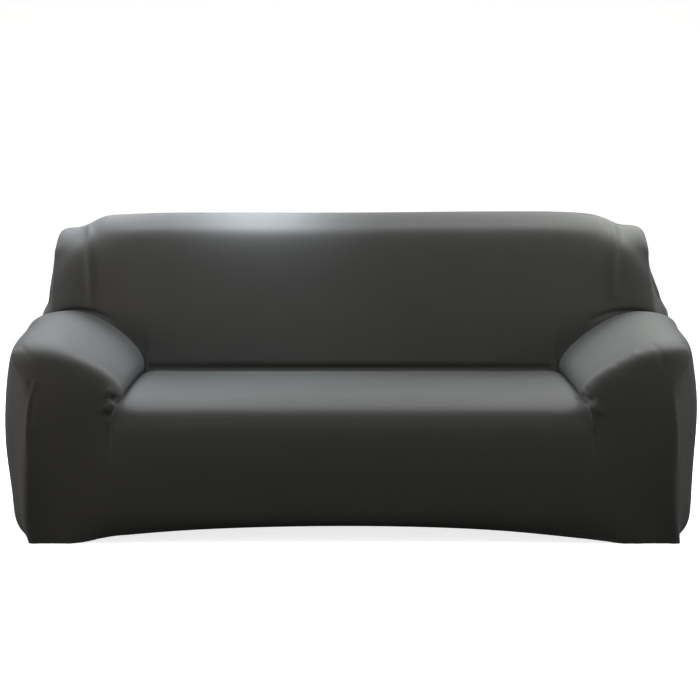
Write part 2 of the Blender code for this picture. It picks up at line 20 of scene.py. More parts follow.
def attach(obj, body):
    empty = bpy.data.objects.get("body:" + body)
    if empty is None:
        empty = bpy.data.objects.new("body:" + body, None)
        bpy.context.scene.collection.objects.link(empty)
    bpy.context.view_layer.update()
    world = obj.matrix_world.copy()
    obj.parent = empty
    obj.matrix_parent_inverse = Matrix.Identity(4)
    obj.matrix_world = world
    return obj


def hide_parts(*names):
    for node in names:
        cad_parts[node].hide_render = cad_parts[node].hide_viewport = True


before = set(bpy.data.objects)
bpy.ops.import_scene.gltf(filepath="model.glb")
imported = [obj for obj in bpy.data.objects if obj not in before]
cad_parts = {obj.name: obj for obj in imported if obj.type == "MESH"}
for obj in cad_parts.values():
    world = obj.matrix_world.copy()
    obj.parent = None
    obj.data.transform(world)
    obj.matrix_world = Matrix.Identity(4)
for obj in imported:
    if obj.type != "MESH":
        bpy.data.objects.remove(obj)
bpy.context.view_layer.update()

bl_info = {
    "name": "Stretch sofa slipcover",
    "version": (1, 0, 0),
    "blender": (4, 5, 0),
    "location": "View3D > Sidebar > Slipcover",
    "description": "Builds a fitted stretch-knit sofa slipcover, its hem stitching and a plain studio",
    "category": "Object",
}

# ---- Shape ----

CENTRE_OUT = 0.0088  # the origin stands this far to the right of the sofa's middle plane
CENTRE_DEPTH = 0.457  # and this far behind its front face

LEFT, RIGHT = -1, 1
SEAT_SHARES = (0.0, 0.03, 0.10, 0.25, 0.5, 0.75, 0.90, 0.97, 1.0)  # the seat's columns, from tuck to tuck
FIT_ROUNDS = 8  # rounds that bring the smooth surface to the tables' points
FIT_LEVELS = 1  # how often the cage is halved in those rounds
APRON_WIDER = 0.010  # the line down the front stands this far outside the end of the tuck
BACK_ROUND = 0.012  # the back's face beside its seam is this far forward of the seam
REAR_HEM_UP = 0.030
REAR_CORNER_HEM_UP = 0.008
REAR_BELLY = 0.012  # the outside back stands proud of its seams by this in its middle
TUCK_CREASE = 1.0  # how tightly the cloth folds, from 0, smooth, to 1, sharp
RIDGE_CREASE = 0.3
SEAM_CREASE = 0.5

FINEST_LEVEL = 4  # each face of the cage is halved this many times each way
PANEL_LEVELS = {"outside_back_panel": 3}  # a panel that needs fewer
HEM_BELOW = 0.062  # an edge lower than this is hem, not seam
SHARP_ANGLE = math.radians(55)  # a turn of more than this, as at the cloth's edge, is shaded sharp

FOLD_ENDS = 0.35  # share of a fold's rise that is left at its ends
FOLD_REACH = 3.2  # a fold lifts the cloth up to this many half widths from its line
CURVE_STEPS = 6  # steps from point to point of a curved fold

# Width and length of the rectangle that each panel is cut from.
CUT_SIZES = {
    "front_seat_panel": (1.86, 1.10),
    "inside_back_panel": (2.55, 0.72),
    "outside_back_panel": (1.96, 0.84),
    "arm_panel_left": (0.60, 0.46),
    "arm_panel_right": (0.60, 0.46),
    "side_panel_left": (0.86, 0.86),
    "side_panel_right": (0.86, 0.86),
}
PANELS = tuple(CUT_SIZES)  # a face of the cage is marked with its panel's place in here

# The elastic's ripples over the hem: the axis that they run along, their pitch, and their rise at the corners
# and in the middle. Each ripple is a few waves, with the row's number as their seed.
HEM_RIPPLES = ((0, 0.050, 0.0022, 0.0006), (1, 0.045, 0.0020, 0.0008))
HEM_RIPPLE_HEIGHT = 0.035  # they fade out over this height
RIPPLE_WAVES = 4
WAVE_PITCHES = (0.7, 1.5)  # least and most, as shares of the ripple's pitch
WAVE_RISES = (0.5, 1.0)  # least and most; the ripple is the waves' mean
RIPPLE_SLANT = 0.15  # how far the ripples move sideways for each metre up
RIPPLE_FACING = 0.7  # the cloth has them where it faces across their axis by more than this share
RIPPLE_CORNER_POWER = 4  # the higher, the closer to the corners the rise goes up

FLOOR_REACH = 14.0  # to the front and to each side
FLOOR_REAR = 3.5  # where it starts to bend up behind the cover
FLOOR_BEND = 2.5
BEND_STEPS = 12
BACKDROP_HEIGHT = 9.0
FLOOR_ROUGHNESS = 0.9
ROOM_COLOUR = (0.93, 0.96, 1.0, 1.0)
SENSOR_WIDTH = 36.0  # of the camera, in millimetres

# Soft lights: name, place, what they are aimed at, size, spread in degrees, power in watts and colour. The
# camera sees none of them. The last five hang close over the back and the arms.
LIGHTS = (
    ("behind", (0.1, 2.1, 3.0), (0.0, 0.0, 0.5), (3.6, 1.2), 180, 50.0, (1.0, 0.99, 0.94)),
    ("overhead", (0.0, 0.75, 3.1), (0.0, 0.15, 0.5), (3.4, 1.6), 180, 92.0, (0.97, 0.99, 1.0)),
    ("front", (-0.3, -1.5, 3.2), (0.0, 0.0, 0.5), (3.0, 1.0), 180, 53.0, (0.99, 0.99, 0.97)),
    ("low_front", (-0.6, -4.2, 2.0), (0.0, 0.0, 0.5), (2.5, 1.5), 180, 16.0, (1.0, 0.95, 0.87)),
    ("left_side", (-4.0, -1.2, 1.2), (-1.0, 0.0, 0.3), (1.5, 1.5), 180, 84.0, (1.0, 0.91, 0.81)),
    ("right_side", (4.0, -1.2, 1.2), (1.0, 0.0, 0.3), (1.5, 1.5), 180, 72.0, (1.0, 0.98, 0.90)),
    ("left_corner", (-1.05, 0.72, 1.68), (-0.90, 0.31, 0.85), (0.45, 0.45), 180, 26.0, (0.88, 0.93, 1.0)),
    ("right_corner", (1.20, 0.62, 1.60), (0.93, 0.30, 0.85), (0.4, 0.4), 180, 20.0, (0.97, 1.0, 0.93)),
    ("left_arm", (-1.75, -0.05, 1.90), (-1.0, -0.20, 0.58), (0.5, 0.5), 180, 14.0, (0.97, 0.98, 1.0)),
    ("right_arm", (1.75, -0.05, 1.90), (1.0, -0.20, 0.58), (0.5, 0.5), 180, 12.0, (1.0, 1.0, 0.96)),
    ("highlight", (-0.33, 0.21, 1.33), (-0.31, 0.32, 0.93), (0.30, 0.12), 80, 3.4, (0.84, 0.92, 1.0)),
)
FLOOR_BOUNCE = 0.03  # how much of the light the floor gives back to the cover, as from a flagged studio floor
FLOOR_GLOW = 0.8  # and how much brighter the floor itself looks

# The arm's section, as shares of its width and height, from the seat tuck over the top to the outer seam.
# It is a little fuller at the arm's front edge.
ARM_SECTION = (
    # across, rise L, R, rise at the front edge L, R
    (0.030, 0.00, 0.00, 0.00, 0.00),
    (0.000, 0.25, 0.23, 0.27, 0.25),
    (0.170, 0.60, 0.56, 0.65, 0.61),
    (0.530, 0.94, 0.92, 0.95, 0.93),
    (0.820, 1.00, 1.00, 1.00, 1.00),
)

# The same section at stations from the front edge of the arm to the back, with the outer seam that ends it.
ARM_STATIONS = (
    # depth at tuck, top and seam, tuck up, crown up L, R, inner out L, R, outer out L, R, outer up L, R
    (0.050, 0.029, 0.041, 0.421, 0.580, 0.587, 0.691, 0.702, 0.999, 1.008, 0.566, 0.575),
    (0.092, 0.073, 0.073, 0.424, 0.604, 0.607, 0.689, 0.701, 1.006, 1.012, 0.582, 0.588),
    (0.158, 0.145, 0.145, 0.425, 0.613, 0.616, 0.689, 0.701, 1.016, 1.026, 0.590, 0.595),
    (0.300, 0.300, 0.300, 0.424, 0.618, 0.620, 0.690, 0.702, 1.031, 1.045, 0.592, 0.595),
    (0.455, 0.460, 0.460, 0.422, 0.625, 0.625, 0.690, 0.702, 1.042, 1.060, 0.595, 0.597),
    (0.560, 0.570, 0.570, 0.418, 0.631, 0.631, 0.690, 0.702, 1.048, 1.070, 0.598, 0.600),
    (0.612, 0.648, 0.648, 0.408, 0.626, 0.624, 0.691, 0.703, 1.004, 1.034, 0.603, 0.603),
)

# The ridge at the outer edge of the arm's front, from the hem up to the arm's front edge.
RIDGE = (
    # out L, out R, depth, up
    (0.9675, 0.9960, 0.024, 0.000),
    (0.9765, 0.9830, 0.014, 0.080),
    (0.9735, 0.9775, 0.006, 0.190),
    (0.9680, 0.9730, 0.003, 0.310),
    (0.9615, 0.9690, 0.006, 0.420),
    (0.9720, 0.9800, 0.018, 0.515),
)

# The side of the sofa below the arm's outer seam: out at each row, at stations that go on behind the arm's.
SIDE_UP = (0.045, 0.13, 0.26, 0.40, 0.52)  # the rows above the hem
SIDE_DEPTHS = (0.073, 0.145, 0.300, 0.460, 0.570, 0.648, 0.785, 0.905)
SIDE_HEM_UP = (0.004, 0.012, 0.021, 0.024, 0.020, 0.016, 0.008, 0.000)
SIDE_OUT_LEFT = (
    # hem, up 0.045, 0.13, 0.26, 0.40, 0.52
    (0.982, 1.003, 1.014, 1.017, 1.016, 1.008),
    (1.008, 1.034, 1.042, 1.055, 1.053, 1.039),
    (1.024, 1.056, 1.071, 1.079, 1.077, 1.063),
    (1.028, 1.060, 1.075, 1.081, 1.080, 1.070),
    (1.025, 1.056, 1.071, 1.074, 1.073, 1.066),
    (1.020, 1.052, 1.065, 1.068, 1.066, 1.055),
    (1.008, 1.036, 1.048, 1.052, 1.058, 1.066),
    (0.992, 1.006, 1.012, 1.014, 1.014, 1.013),
)
SIDE_OUT_RIGHT = (
    # hem, up 0.045, 0.13, 0.26, 0.40, 0.52
    (0.998, 1.015, 1.023, 1.025, 1.025, 1.017),
    (1.022, 1.048, 1.053, 1.058, 1.061, 1.047),
    (1.036, 1.064, 1.077, 1.080, 1.083, 1.069),
    (1.040, 1.069, 1.081, 1.084, 1.087, 1.072),
    (1.039, 1.068, 1.080, 1.082, 1.084, 1.073),
    (1.036, 1.066, 1.078, 1.080, 1.081, 1.067),
    (1.032, 1.059, 1.071, 1.076, 1.082, 1.090),
    (0.996, 1.010, 1.016, 1.018, 1.018, 1.017),
)

# The side of the back from the arm up to the line along its top: front seam, middle and rear seam.
BACK_SIDE = (
    # up, front out L, R, middle out L, R, rear out L, R, front depth
    (0.603, 1.004, 1.034, 1.055, 1.090, 1.011, 1.014, 0.648),
    (0.640, 1.001, 1.023, 1.037, 1.075, 1.006, 1.009, 0.653),
    (0.682, 0.999, 1.016, 1.024, 1.055, 1.003, 1.005, 0.658),
    (0.738, 0.996, 1.009, 1.011, 1.027, 1.000, 1.001, 0.667),
    (0.797, 0.993, 1.003, 1.002, 1.012, 0.996, 0.998, 0.684),
)
BACK_SIDE_MIDDLE_DEPTH = 0.785
REAR_DEPTH = 0.905

# The line along the top of the back, from the middle plane to the side seam.
BACK_TOP = (
    # out L, R, crown up L, R, set back, share of the strip's drop
    (0.000, 0.000, 0.947, 0.947, 0.000, 1.00),
    (0.350, 0.350, 0.947, 0.950, 0.000, 1.00),
    (0.560, 0.560, 0.947, 0.951, 0.000, 1.00),
    (0.655, 0.655, 0.946, 0.951, 0.000, 1.00),
    (0.705, 0.705, 0.944, 0.950, 0.000, 1.00),
    (0.775, 0.775, 0.941, 0.947, 0.001, 1.00),
    (0.838, 0.838, 0.934, 0.9385, 0.003, 1.00),
    (0.888, 0.888, 0.911, 0.9205, 0.005, 1.00),
    (0.935, 0.935, 0.8965, 0.905, 0.005, 1.00),
    (0.988, 0.998, 0.880, 0.888, 0.002, 0.85),
)
TOP_STRIP = (
    # depth, drop below the crown, inset at the ends: the front round-over, the crown and the rear seam
    (0.708, 0.0335, 0.006),
    (0.785, 0.0, 0.0),
    (0.868, 0.034, 0.002),
)

# The inside of the back between the tuck and the round-over: how far up, and how far it bellies forward.
BACK_ROW_SHARES = (
    # share of the way up to the last row, forward of the straight line up the back
    (0.045, 0.003),
    (0.27, 0.0125),
    (0.66, 0.027),
    (1.00, 0.030),
)
BACK_LAST_DROP = 0.058  # the last row stands this far below the round-over
BACK_FORWARD = (
    # out, share of the forward belly
    (0.000, 1.00),
    (0.800, 1.00),
    (0.880, 1.15),
    (0.930, 1.20),
    (1.000, 0.60),
)
BACK_SPRING = 0.18  # how strongly the back's cloth leaves its tuck square to it

# The apron and the arms' fronts over the hem: height on the line below the seat tuck, and depth of the row.
FRONT_HEM_DEPTH = 0.018
FRONT_ROWS = (
    # up, depth
    (0.090, 0.004),
    (0.180, 0.000),
    (0.255, 0.000),
    (0.335, 0.007),
    (0.379, 0.0195),
)
ARM_FRONT_ROWS = (
    # share of the height up to the last row, depth in the middle of the arm's front
    (0.19, 0.013),
    (0.42, 0.004),
    (0.64, 0.000),
    (0.85, 0.002),
    (1.00, 0.013),
)
ARM_FRONT_DROP = 0.045  # the last row stands this far below the arm's front edge
APRON_SHARES = (0.8, 0.35, 0.0, 0.0)  # how far the arm front's inner columns keep the apron's depth
APRON_HEM = (
    # x, up: the elastic lifts the hem in the middle, and it reaches the floor near the corners
    (-0.83, 0.000),
    (-0.72, 0.024),
    (-0.47, 0.046),
    (-0.24, 0.053),
    (0.00, 0.056),
    (0.24, 0.053),
    (0.47, 0.042),
    (0.72, 0.015),
    (0.83, 0.000),
)

# The seat from its front edge to the tuck.
SEAT_ROWS = (
    # depth, up
    (0.040, 0.408),
    (0.088, 0.4285),
    (0.160, 0.438),
    (0.300, 0.441),
    (0.455, 0.440),
    (0.562, 0.436),
    (0.612, 0.408),
)

# The main folds and troughs on the cloth: a straight line from start to end, its half width, and its rise.
FOLDS = (
    # start (x, depth, up), end (x, depth, up), half width, rise
    ((-0.703, 0.042, 0.438), (-0.714, 0.018, 0.442), 0.010, -0.010),
    ((-0.690, 0.028, 0.428), (-0.738, 0.006, 0.412), 0.012, 0.006),
    ((-0.728, 0.010, 0.400), (-0.704, 0.004, 0.388), 0.009, -0.004),
    ((-0.726, 0.020, 0.452), (-0.716, 0.024, 0.476), 0.009, 0.004),
    ((0.712, 0.042, 0.438), (0.728, 0.016, 0.436), 0.011, -0.009),
    ((0.700, 0.030, 0.427), (0.752, 0.006, 0.404), 0.013, 0.005),
    ((0.700, 0.032, 0.470), (0.726, 0.012, 0.450), 0.009, -0.003),
    ((-0.944, 0.006, 0.492), (-0.951, 0.006, 0.370), 0.011, -0.005),
    ((-1.035, 0.705, 0.615), (-0.998, 0.715, 0.800), 0.012, 0.006),
    ((-1.040, 0.760, 0.640), (-1.000, 0.755, 0.760), 0.012, -0.005),
    ((1.075, 0.705, 0.610), (1.010, 0.715, 0.790), 0.013, 0.007),
    ((1.085, 0.765, 0.630), (1.020, 0.755, 0.760), 0.013, -0.006),
)

# Finer folds along smooth curves: the curve's points (x, depth, up), half width, rise, and lean if any.
FINE_FOLDS = (
    # the soft ridges up the ends of the back
    (((-0.885, 0.765, 0.905), (-0.874, 0.700, 0.870), (-0.872, 0.668, 0.800), (-0.868, 0.652, 0.700),
      (-0.862, 0.648, 0.640)), 0.012, 0.009),
    (((0.894, 0.765, 0.915), (0.884, 0.705, 0.860), (0.881, 0.666, 0.770), (0.879, 0.652, 0.680)),
     0.016, 0.008),
    # the folds that run from the back's front seams down behind the arms
    (((1.012, 0.690, 0.745), (1.030, 0.700, 0.690), (1.050, 0.715, 0.630)), 0.010, -0.006),
    (((1.022, 0.735, 0.740), (1.045, 0.745, 0.680), (1.068, 0.755, 0.625)), 0.010, -0.005),
    (((-1.008, 0.690, 0.690), (-1.020, 0.700, 0.650), (-1.034, 0.710, 0.615)), 0.010, -0.005),
    # the grooves where the back is tucked in behind the arms
    (((-0.995, 0.650, 0.612), (-0.930, 0.649, 0.628), (-0.860, 0.645, 0.622), (-0.800, 0.640, 0.598)),
     0.009, -0.006),
    (((1.025, 0.650, 0.612), (0.960, 0.649, 0.626), (0.880, 0.645, 0.622), (0.810, 0.640, 0.598)),
     0.009, -0.006),
    # the groove where the back is tucked in behind the seat
    (((-0.670, 0.613, 0.438), (-0.300, 0.613, 0.438), (0.000, 0.613, 0.438), (0.300, 0.613, 0.438),
      (0.670, 0.613, 0.438)), 0.011, -0.010),
    # the gathers where the seat ends beside the arms
    (((-0.690, 0.070, 0.441), (-0.700, 0.045, 0.437), (-0.712, 0.016, 0.450)), 0.010, -0.010),
    (((-0.724, 0.020, 0.466), (-0.713, 0.018, 0.472), (-0.702, 0.026, 0.476)), 0.008, 0.002),
    (((-0.721, 0.006, 0.434), (-0.712, 0.004, 0.422), (-0.700, 0.004, 0.410)), 0.008, -0.0025),
    (((-0.730, 0.004, 0.414), (-0.716, 0.004, 0.404), (-0.700, 0.005, 0.398)), 0.008, -0.002),
    (((0.690, 0.100, 0.440), (0.706, 0.050, 0.440), (0.722, 0.014, 0.444)), 0.010, -0.009),
    (((0.698, 0.060, 0.476), (0.712, 0.030, 0.460), (0.726, 0.012, 0.450)), 0.008, -0.003),
    # the pinches along the arms' front edges
    (((-1.013, 0.105, 0.588), (-0.995, 0.050, 0.570), (-0.970, 0.018, 0.545)), 0.010, 0.002),
    (((-0.990, 0.090, 0.594), (-0.960, 0.035, 0.580), (-0.930, 0.014, 0.550)), 0.009, -0.002),
    (((0.770, 0.070, 0.560), (0.790, 0.030, 0.550), (0.800, 0.010, 0.520)), 0.010, -0.003),
    (((0.835, 0.070, 0.590), (0.850, 0.030, 0.578), (0.855, 0.012, 0.545)), 0.010, 0.003),
    (((0.905, 0.075, 0.598), (0.915, 0.030, 0.585), (0.925, 0.012, 0.550)), 0.010, -0.003),
    # the ridges down the arms' front corners
    (((-0.936, 0.006, 0.500), (-0.950, 0.006, 0.450), (-0.958, 0.006, 0.385), (-0.962, 0.006, 0.300)),
     0.009, 0.005, 0.9),
    (((0.962, 0.010, 0.445), (0.968, 0.008, 0.400), (0.974, 0.008, 0.320), (0.974, 0.008, 0.240)),
     0.009, 0.004, -0.9),
)


def unit(vectors):
    return vectors / np.maximum(np.linalg.norm(vectors, axis=-1, keepdims=True), 1e-12)


def side_value(side, left, right):
    return left if side == LEFT else right


def placed(side, out, depth, up):
    return (side * out, depth, up)


# ---- Lines of the cage ----


def arm_line(side, station):
    """The arm's section at one station, from the seat tuck to the outer seam."""
    tuck_depth, top_depth, seam_depth, tuck_up, *ends = ARM_STATIONS[station]
    crown, inner, outer, seam_up = ends[0::2] if side == LEFT else ends[1::2]
    points = []
    for across, rise_l, rise_r, front_l, front_r in ARM_SECTION:
        rise = side_value(side, front_l, front_r) if station == 0 else side_value(side, rise_l, rise_r)
        out = inner + across * (outer - inner)
        depth = tuck_depth + (top_depth - tuck_depth) * rise
        points.append(placed(side, out, depth, tuck_up + rise * (crown - tuck_up)))
    return np.array(points + [placed(side, outer, seam_depth, seam_up)])


def ridge_line(side):
    """The ridge from the hem up to the end of the arm's outer seam."""
    points = [placed(side, side_value(side, left, right), depth, up) for left, right, depth, up in RIDGE]
    return np.array(points + [arm_line(side, 0)[-1]])


def side_line(side, station):
    """The side panel's column at a station behind the ridge, from the hem to below the arm's outer seam."""
    outs = side_value(side, SIDE_OUT_LEFT, SIDE_OUT_RIGHT)[station]
    ups = (SIDE_HEM_UP[station], *SIDE_UP)
    return np.array([placed(side, out, SIDE_DEPTHS[station], up) for out, up in zip(outs, ups)])


def back_side_line(side, column):
    """The back's side above the arm, from the arm's level up: column 0 is the front seam, 2 the rear seam."""
    points = []
    for up, *outs, front_depth in BACK_SIDE:
        out = side_value(side, *outs[2 * column : 2 * column + 2])
        depth = (front_depth, BACK_SIDE_MIDDLE_DEPTH, REAR_DEPTH)[column]
        points.append(placed(side, out, depth, up))
    return np.array(points + [tuple(top_row(column)[0 if side == LEFT else -1])])


def top_row(strip_row):
    """One row across the top of the back, from the left side seam to the right one."""
    depth, drop, inset = TOP_STRIP[strip_row]
    rear = strip_row == len(TOP_STRIP) - 1
    points = []
    for side in (LEFT, RIGHT):
        half = []
        for out_l, out_r, up_l, up_r, set_back, drop_share in BACK_TOP:
            out = side_value(side, out_l, out_r)
            back = 0.0 if rear else set_back
            up = side_value(side, up_l, up_r) - drop * drop_share
            half.append(placed(side, out, depth + back, up))
        half[-1] = (half[-1][0] - side * inset, *half[-1][1:])
        points += half[:0:-1] if side == LEFT else half
    return np.array(points)


def seat_line(row):
    """One row across the seat, between the arms' tucks."""
    depth, up = SEAT_ROWS[row]
    left = arm_line(LEFT, row)[0]
    right = arm_line(RIGHT, row)[0]
    points = np.array([(left[0] + share * (right[0] - left[0]), depth, up) for share in SEAT_SHARES])
    points[0], points[-1] = left, right
    return points


def coons(bottom, top, left, right):
    """The grid between four lines that share their ends: rows from bottom up, columns from left to right."""
    rows, columns = len(left), len(bottom)
    s = np.linspace(0, 1, columns)[None, :, None]
    t = np.linspace(0, 1, rows)[:, None, None]
    across = (1 - s) * left[:, None, :] + s * right[:, None, :]
    along = (1 - t) * bottom[None] + t * top[None]
    low = (1 - s) * bottom[0] + s * bottom[-1]
    high = (1 - s) * top[0] + s * top[-1]
    grid = across + along - (1 - t) * low - t * high
    grid[0], grid[-1] = bottom, top
    grid[:, 0], grid[:, -1] = left, right
    return grid


# ---- Grids of the panels ----


def hem_up(x):
    """The front hem's height over the floor."""
    return float(np.interp(x, *np.transpose(APRON_HEM)))


def apron_edge(side):
    """The line down the front below the seat tuck, where the apron goes on as the arm's front."""
    tuck = arm_line(side, 0)[0]
    x = tuck[0] + side * APRON_WIDER
    rows = [(x, depth, up) for up, depth in FRONT_ROWS]
    return np.array([(x, FRONT_HEM_DEPTH, hem_up(x)), *rows, tuple(tuck)])


def arm_front_grid(side):
    """The front of one arm, from the apron's edge out to the ridge and from the hem up to the arm's edge."""
    inner = apron_edge(side)
    outer = ridge_line(side)
    top = arm_line(side, 0)
    bottom = np.linspace(inner[0], outer[0], len(top))
    bottom[1:-1, 2] = [hem_up(x) for x in bottom[1:-1, 0]]
    grid = coons(bottom, top, inner, outer)
    height = top[1:-1, 2] - ARM_FRONT_DROP - bottom[1:-1, 2]
    kept = np.array(APRON_SHARES)
    for row, (share, depth) in enumerate(ARM_FRONT_ROWS, 1):
        up = bottom[1:-1, 2] + share * height
        grid[row, 1:-1, 1] = kept * np.interp(up, inner[:-1, 2], inner[:-1, 1]) + (1 - kept) * depth
        grid[row, 1:-1, 2] = up
    return grid


def apron_grid():
    """The front between the arms, from the hem up to the seat's front edge."""
    left, right = apron_edge(LEFT), apron_edge(RIGHT)
    top = seat_line(0)
    bottom = left[0] + np.array(SEAT_SHARES)[:, None] * (right[0] - left[0])
    bottom[1:-1, 2] = [hem_up(x) for x in bottom[1:-1, 0]]
    grid = coons(bottom, top, left, right)
    for row, (up, depth) in enumerate(FRONT_ROWS, 1):
        grid[row, 1:-1, 1:] = depth, up
    return grid


def seat_grid():
    return np.array([seat_line(row) for row in range(len(SEAT_ROWS))])


def arm_grid(side):
    return np.array([arm_line(side, station) for station in range(len(ARM_STATIONS))])


def away_from(line):
    """At each point of the tuck under the back, the step up and inwards to a line one unit away from it."""
    way = np.diff(line, axis=0)
    square = unit(np.column_stack([-way[:, 2], np.zeros(len(way)), way[:, 0]]))
    before = np.vstack([square[:1], square])
    after = np.vstack([square, square[-1:]])
    return (before + after) / (1 + (before * after).sum(1))[:, None]


def inside_back_grid():
    """From the tuck along the seat and the arms, up the inside of the back and over it to the rear seam."""
    last = len(ARM_STATIONS) - 1
    seat = seat_line(last)
    bottom = np.vstack([arm_line(LEFT, last)[::-1], seat[1:-1], arm_line(RIGHT, last)])
    front_top = top_row(0)
    height = np.linalg.norm(front_top - bottom, axis=1)[:, None]
    away = away_from(bottom)
    away[1:-1] = (away[:-2] + 2 * away[1:-1] + away[2:]) / 4
    leaving = away * height * BACK_SPRING
    rows = [bottom]
    for share, forward in BACK_ROW_SHARES:
        rise = share * (1 - BACK_LAST_DROP / height)
        row = bottom + rise * (front_top - bottom) + np.sqrt(rise) * (1 - rise) * leaving
        straight = (row[:, 2] - bottom[:, 2]) / (front_top[:, 2] - bottom[:, 2])
        row[:, 1] = bottom[:, 1] + straight * (front_top[:, 1] - bottom[:, 1])
        row[:, 1] -= forward * np.interp(np.abs(row[:, 0]), *np.transpose(BACK_FORWARD))
        for _ in range(len(rows) - 1):  # the higher the row, the less it keeps the tuck's turns
            row[2:-2] += (row[1:-3] - 2 * row[2:-2] + row[3:-1]) / 4
        rows.append(row)
    rows += [front_top, top_row(1), top_row(2)]
    grid = np.array(rows)
    for side, column, next_column in ((LEFT, 0, 1), (RIGHT, -1, -2)):
        seam = back_side_line(side, 0)
        grid[: len(seam), column] = seam
        grid[1 : len(seam) - 1, next_column, 1] = seam[1:-1, 1] - BACK_ROUND
    return grid


def side_grid(side):
    """The side below the arm's outer seam, from the front ridge to the rear corner."""
    seam = arm_grid(side)[:, -1]
    columns = [ridge_line(side)]
    for station in range(len(SIDE_DEPTHS)):
        column = side_line(side, station)
        if station + 1 < len(seam):
            top = seam[station + 1]
        else:
            top = back_side_line(side, station - len(seam) + 2)[0]
        columns.append(np.vstack([column, top]))
    return np.array(columns).transpose(1, 0, 2)


def back_side_grid(side):
    return np.array([back_side_line(side, column) for column in range(3)]).transpose(1, 0, 2)


def outside_back_grid():
    """The outside of the back, from the hem up to the rear seam."""
    left = np.vstack([side_grid(LEFT)[:, -1], back_side_grid(LEFT)[1:, -1]])
    right = np.vstack([side_grid(RIGHT)[:, -1], back_side_grid(RIGHT)[1:, -1]])
    top = top_row(2)
    bottom = top.copy()
    bottom[:, 1:] = REAR_DEPTH, REAR_HEM_UP
    bottom[0], bottom[-1] = left[0], right[0]
    bottom[1, 2] = bottom[-2, 2] = REAR_CORNER_HEM_UP
    bottom[1:-1, 0] *= left[0, 0] / top[0, 0]
    grid = coons(bottom, top, left, right)
    rows = len(left)
    for row in range(1, rows - 1):
        belly = REAR_BELLY * math.sin(math.pi * row / rows)
        grid[row, 1:-1, 1] = REAR_DEPTH + belly
    return grid


# ---- The cage and its smooth surface ----


def cloth_lengths(grid):
    """How far each row and each column of a grid is along the cloth, in metres."""
    along_rows = np.linalg.norm(np.diff(grid, axis=1), axis=2).mean(0)
    up_columns = np.linalg.norm(np.diff(grid, axis=0), axis=2).mean(1)
    return np.append(0.0, np.cumsum(along_rows)), np.append(0.0, np.cumsum(up_columns))


class Cage:
    """Quads with shared corners, each marked with its panel and laid out flat in metres."""

    def __init__(self):
        self.points = []
        self.index = {}
        self.faces = []
        self.marks = []
        self.flat = []

    def vertex(self, point):
        key = tuple(round(float(c), 6) for c in point)
        if key not in self.index:
            self.index[key] = len(self.points)
            self.points.append(key)
        return self.index[key]

    def add(self, panel, grid):
        ids = [[self.vertex(point) for point in row] for row in grid]
        wide, high = cloth_lengths(np.asarray(grid))
        for j in range(len(ids) - 1):
            for i in range(len(ids[0]) - 1):
                corners = ((j, i), (j, i + 1), (j + 1, i + 1), (j + 1, i))
                self.faces.append([ids[row][column] for row, column in corners])
                self.flat += [(wide[column], high[row]) for row, column in corners]
                self.marks.append(PANELS.index(panel))

    def edges(self, line):
        ids = [self.vertex(point) for point in line]
        return {tuple(sorted(pair)) for pair in zip(ids, ids[1:])}


def whole_cage():
    cage = Cage()
    cage.add("front_seat_panel", apron_grid())
    cage.add("front_seat_panel", seat_grid())
    cage.add("inside_back_panel", inside_back_grid())
    cage.add("outside_back_panel", outside_back_grid())
    for side, name in ((LEFT, "left"), (RIGHT, "right")):
        cage.add("front_seat_panel", arm_front_grid(side))
        cage.add("arm_panel_" + name, arm_grid(side))
        cage.add("side_panel_" + name, side_grid(side))
        cage.add("side_panel_" + name, back_side_grid(side))
    return cage


def creases(cage):
    """How sharply the cloth folds along its seams, from 0, smooth, to 1, sharp."""
    found = {}
    last = len(ARM_STATIONS) - 1
    lines = [(seat_line(last), TUCK_CREASE)]
    for side in (LEFT, RIGHT):
        lines.append((arm_grid(side)[:, 0], TUCK_CREASE))
        lines.append((arm_line(side, last), TUCK_CREASE))
        lines.append((ridge_line(side), RIDGE_CREASE))
        lines.append((back_side_line(side, 0), SEAM_CREASE))
    for line, sharpness in lines:
        for edge in cage.edges(line):
            found[edge] = sharpness
    return found


def mesh_of(cage):
    """The cage as a mesh, with its flat layout as the UV map and its seams creased."""
    mesh = bpy.data.meshes.new("cage")
    mesh.from_pydata(cage.points, [], cage.faces)
    mesh.polygons.foreach_set("material_index", cage.marks)
    mesh.uv_layers.new(name="cloth").uv.foreach_set("vector", np.array(cage.flat).ravel())
    bm = bmesh.new()
    bm.from_mesh(mesh)
    bmesh.ops.recalc_face_normals(bm, faces=bm.faces[:])
    crease = bm.edges.layers.float.new("crease_edge")
    sharp = creases(cage)
    for edge in bm.edges:
        key = tuple(sorted(v.index for v in edge.verts))
        edge[crease] = sharp.get(key, 0.0)
    bm.to_mesh(mesh)
    bm.free()
    return mesh


def add_object(context, name, data):
    made = bpy.data.objects.new(name, data)
    context.scene.collection.objects.link(made)
    return made


def values_of(items, name, width, kind=float):
    """One attribute of a mesh's corners or faces, as an array with a row for each."""
    found = np.empty(len(items) * width, kind)
    items.foreach_get(name, found)
    return found.reshape(-1, width)


def smooth_points(obj):
    """Where the smooth surface is at each corner of the cage."""
    bpy.context.view_layer.update()
    evaluated = obj.evaluated_get(bpy.context.evaluated_depsgraph_get())
    return values_of(evaluated.data.vertices, "co", 3)[: len(obj.data.vertices)]


def fitted_cage():
    """The cage, moved until its smooth surface passes through the tables' points."""
    cage = whole_cage()
    obj = add_object(bpy.context, "cage", mesh_of(cage))
    smooth = obj.modifiers.new("smooth", "SUBSURF")
    smooth.levels = smooth.render_levels = FIT_LEVELS
    wanted = np.array(cage.points)
    corners = wanted.copy()
    for _ in range(FIT_ROUNDS):
        corners += wanted - smooth_points(obj)
        obj.data.vertices.foreach_set("co", corners.ravel())
        obj.data.update()
    return obj


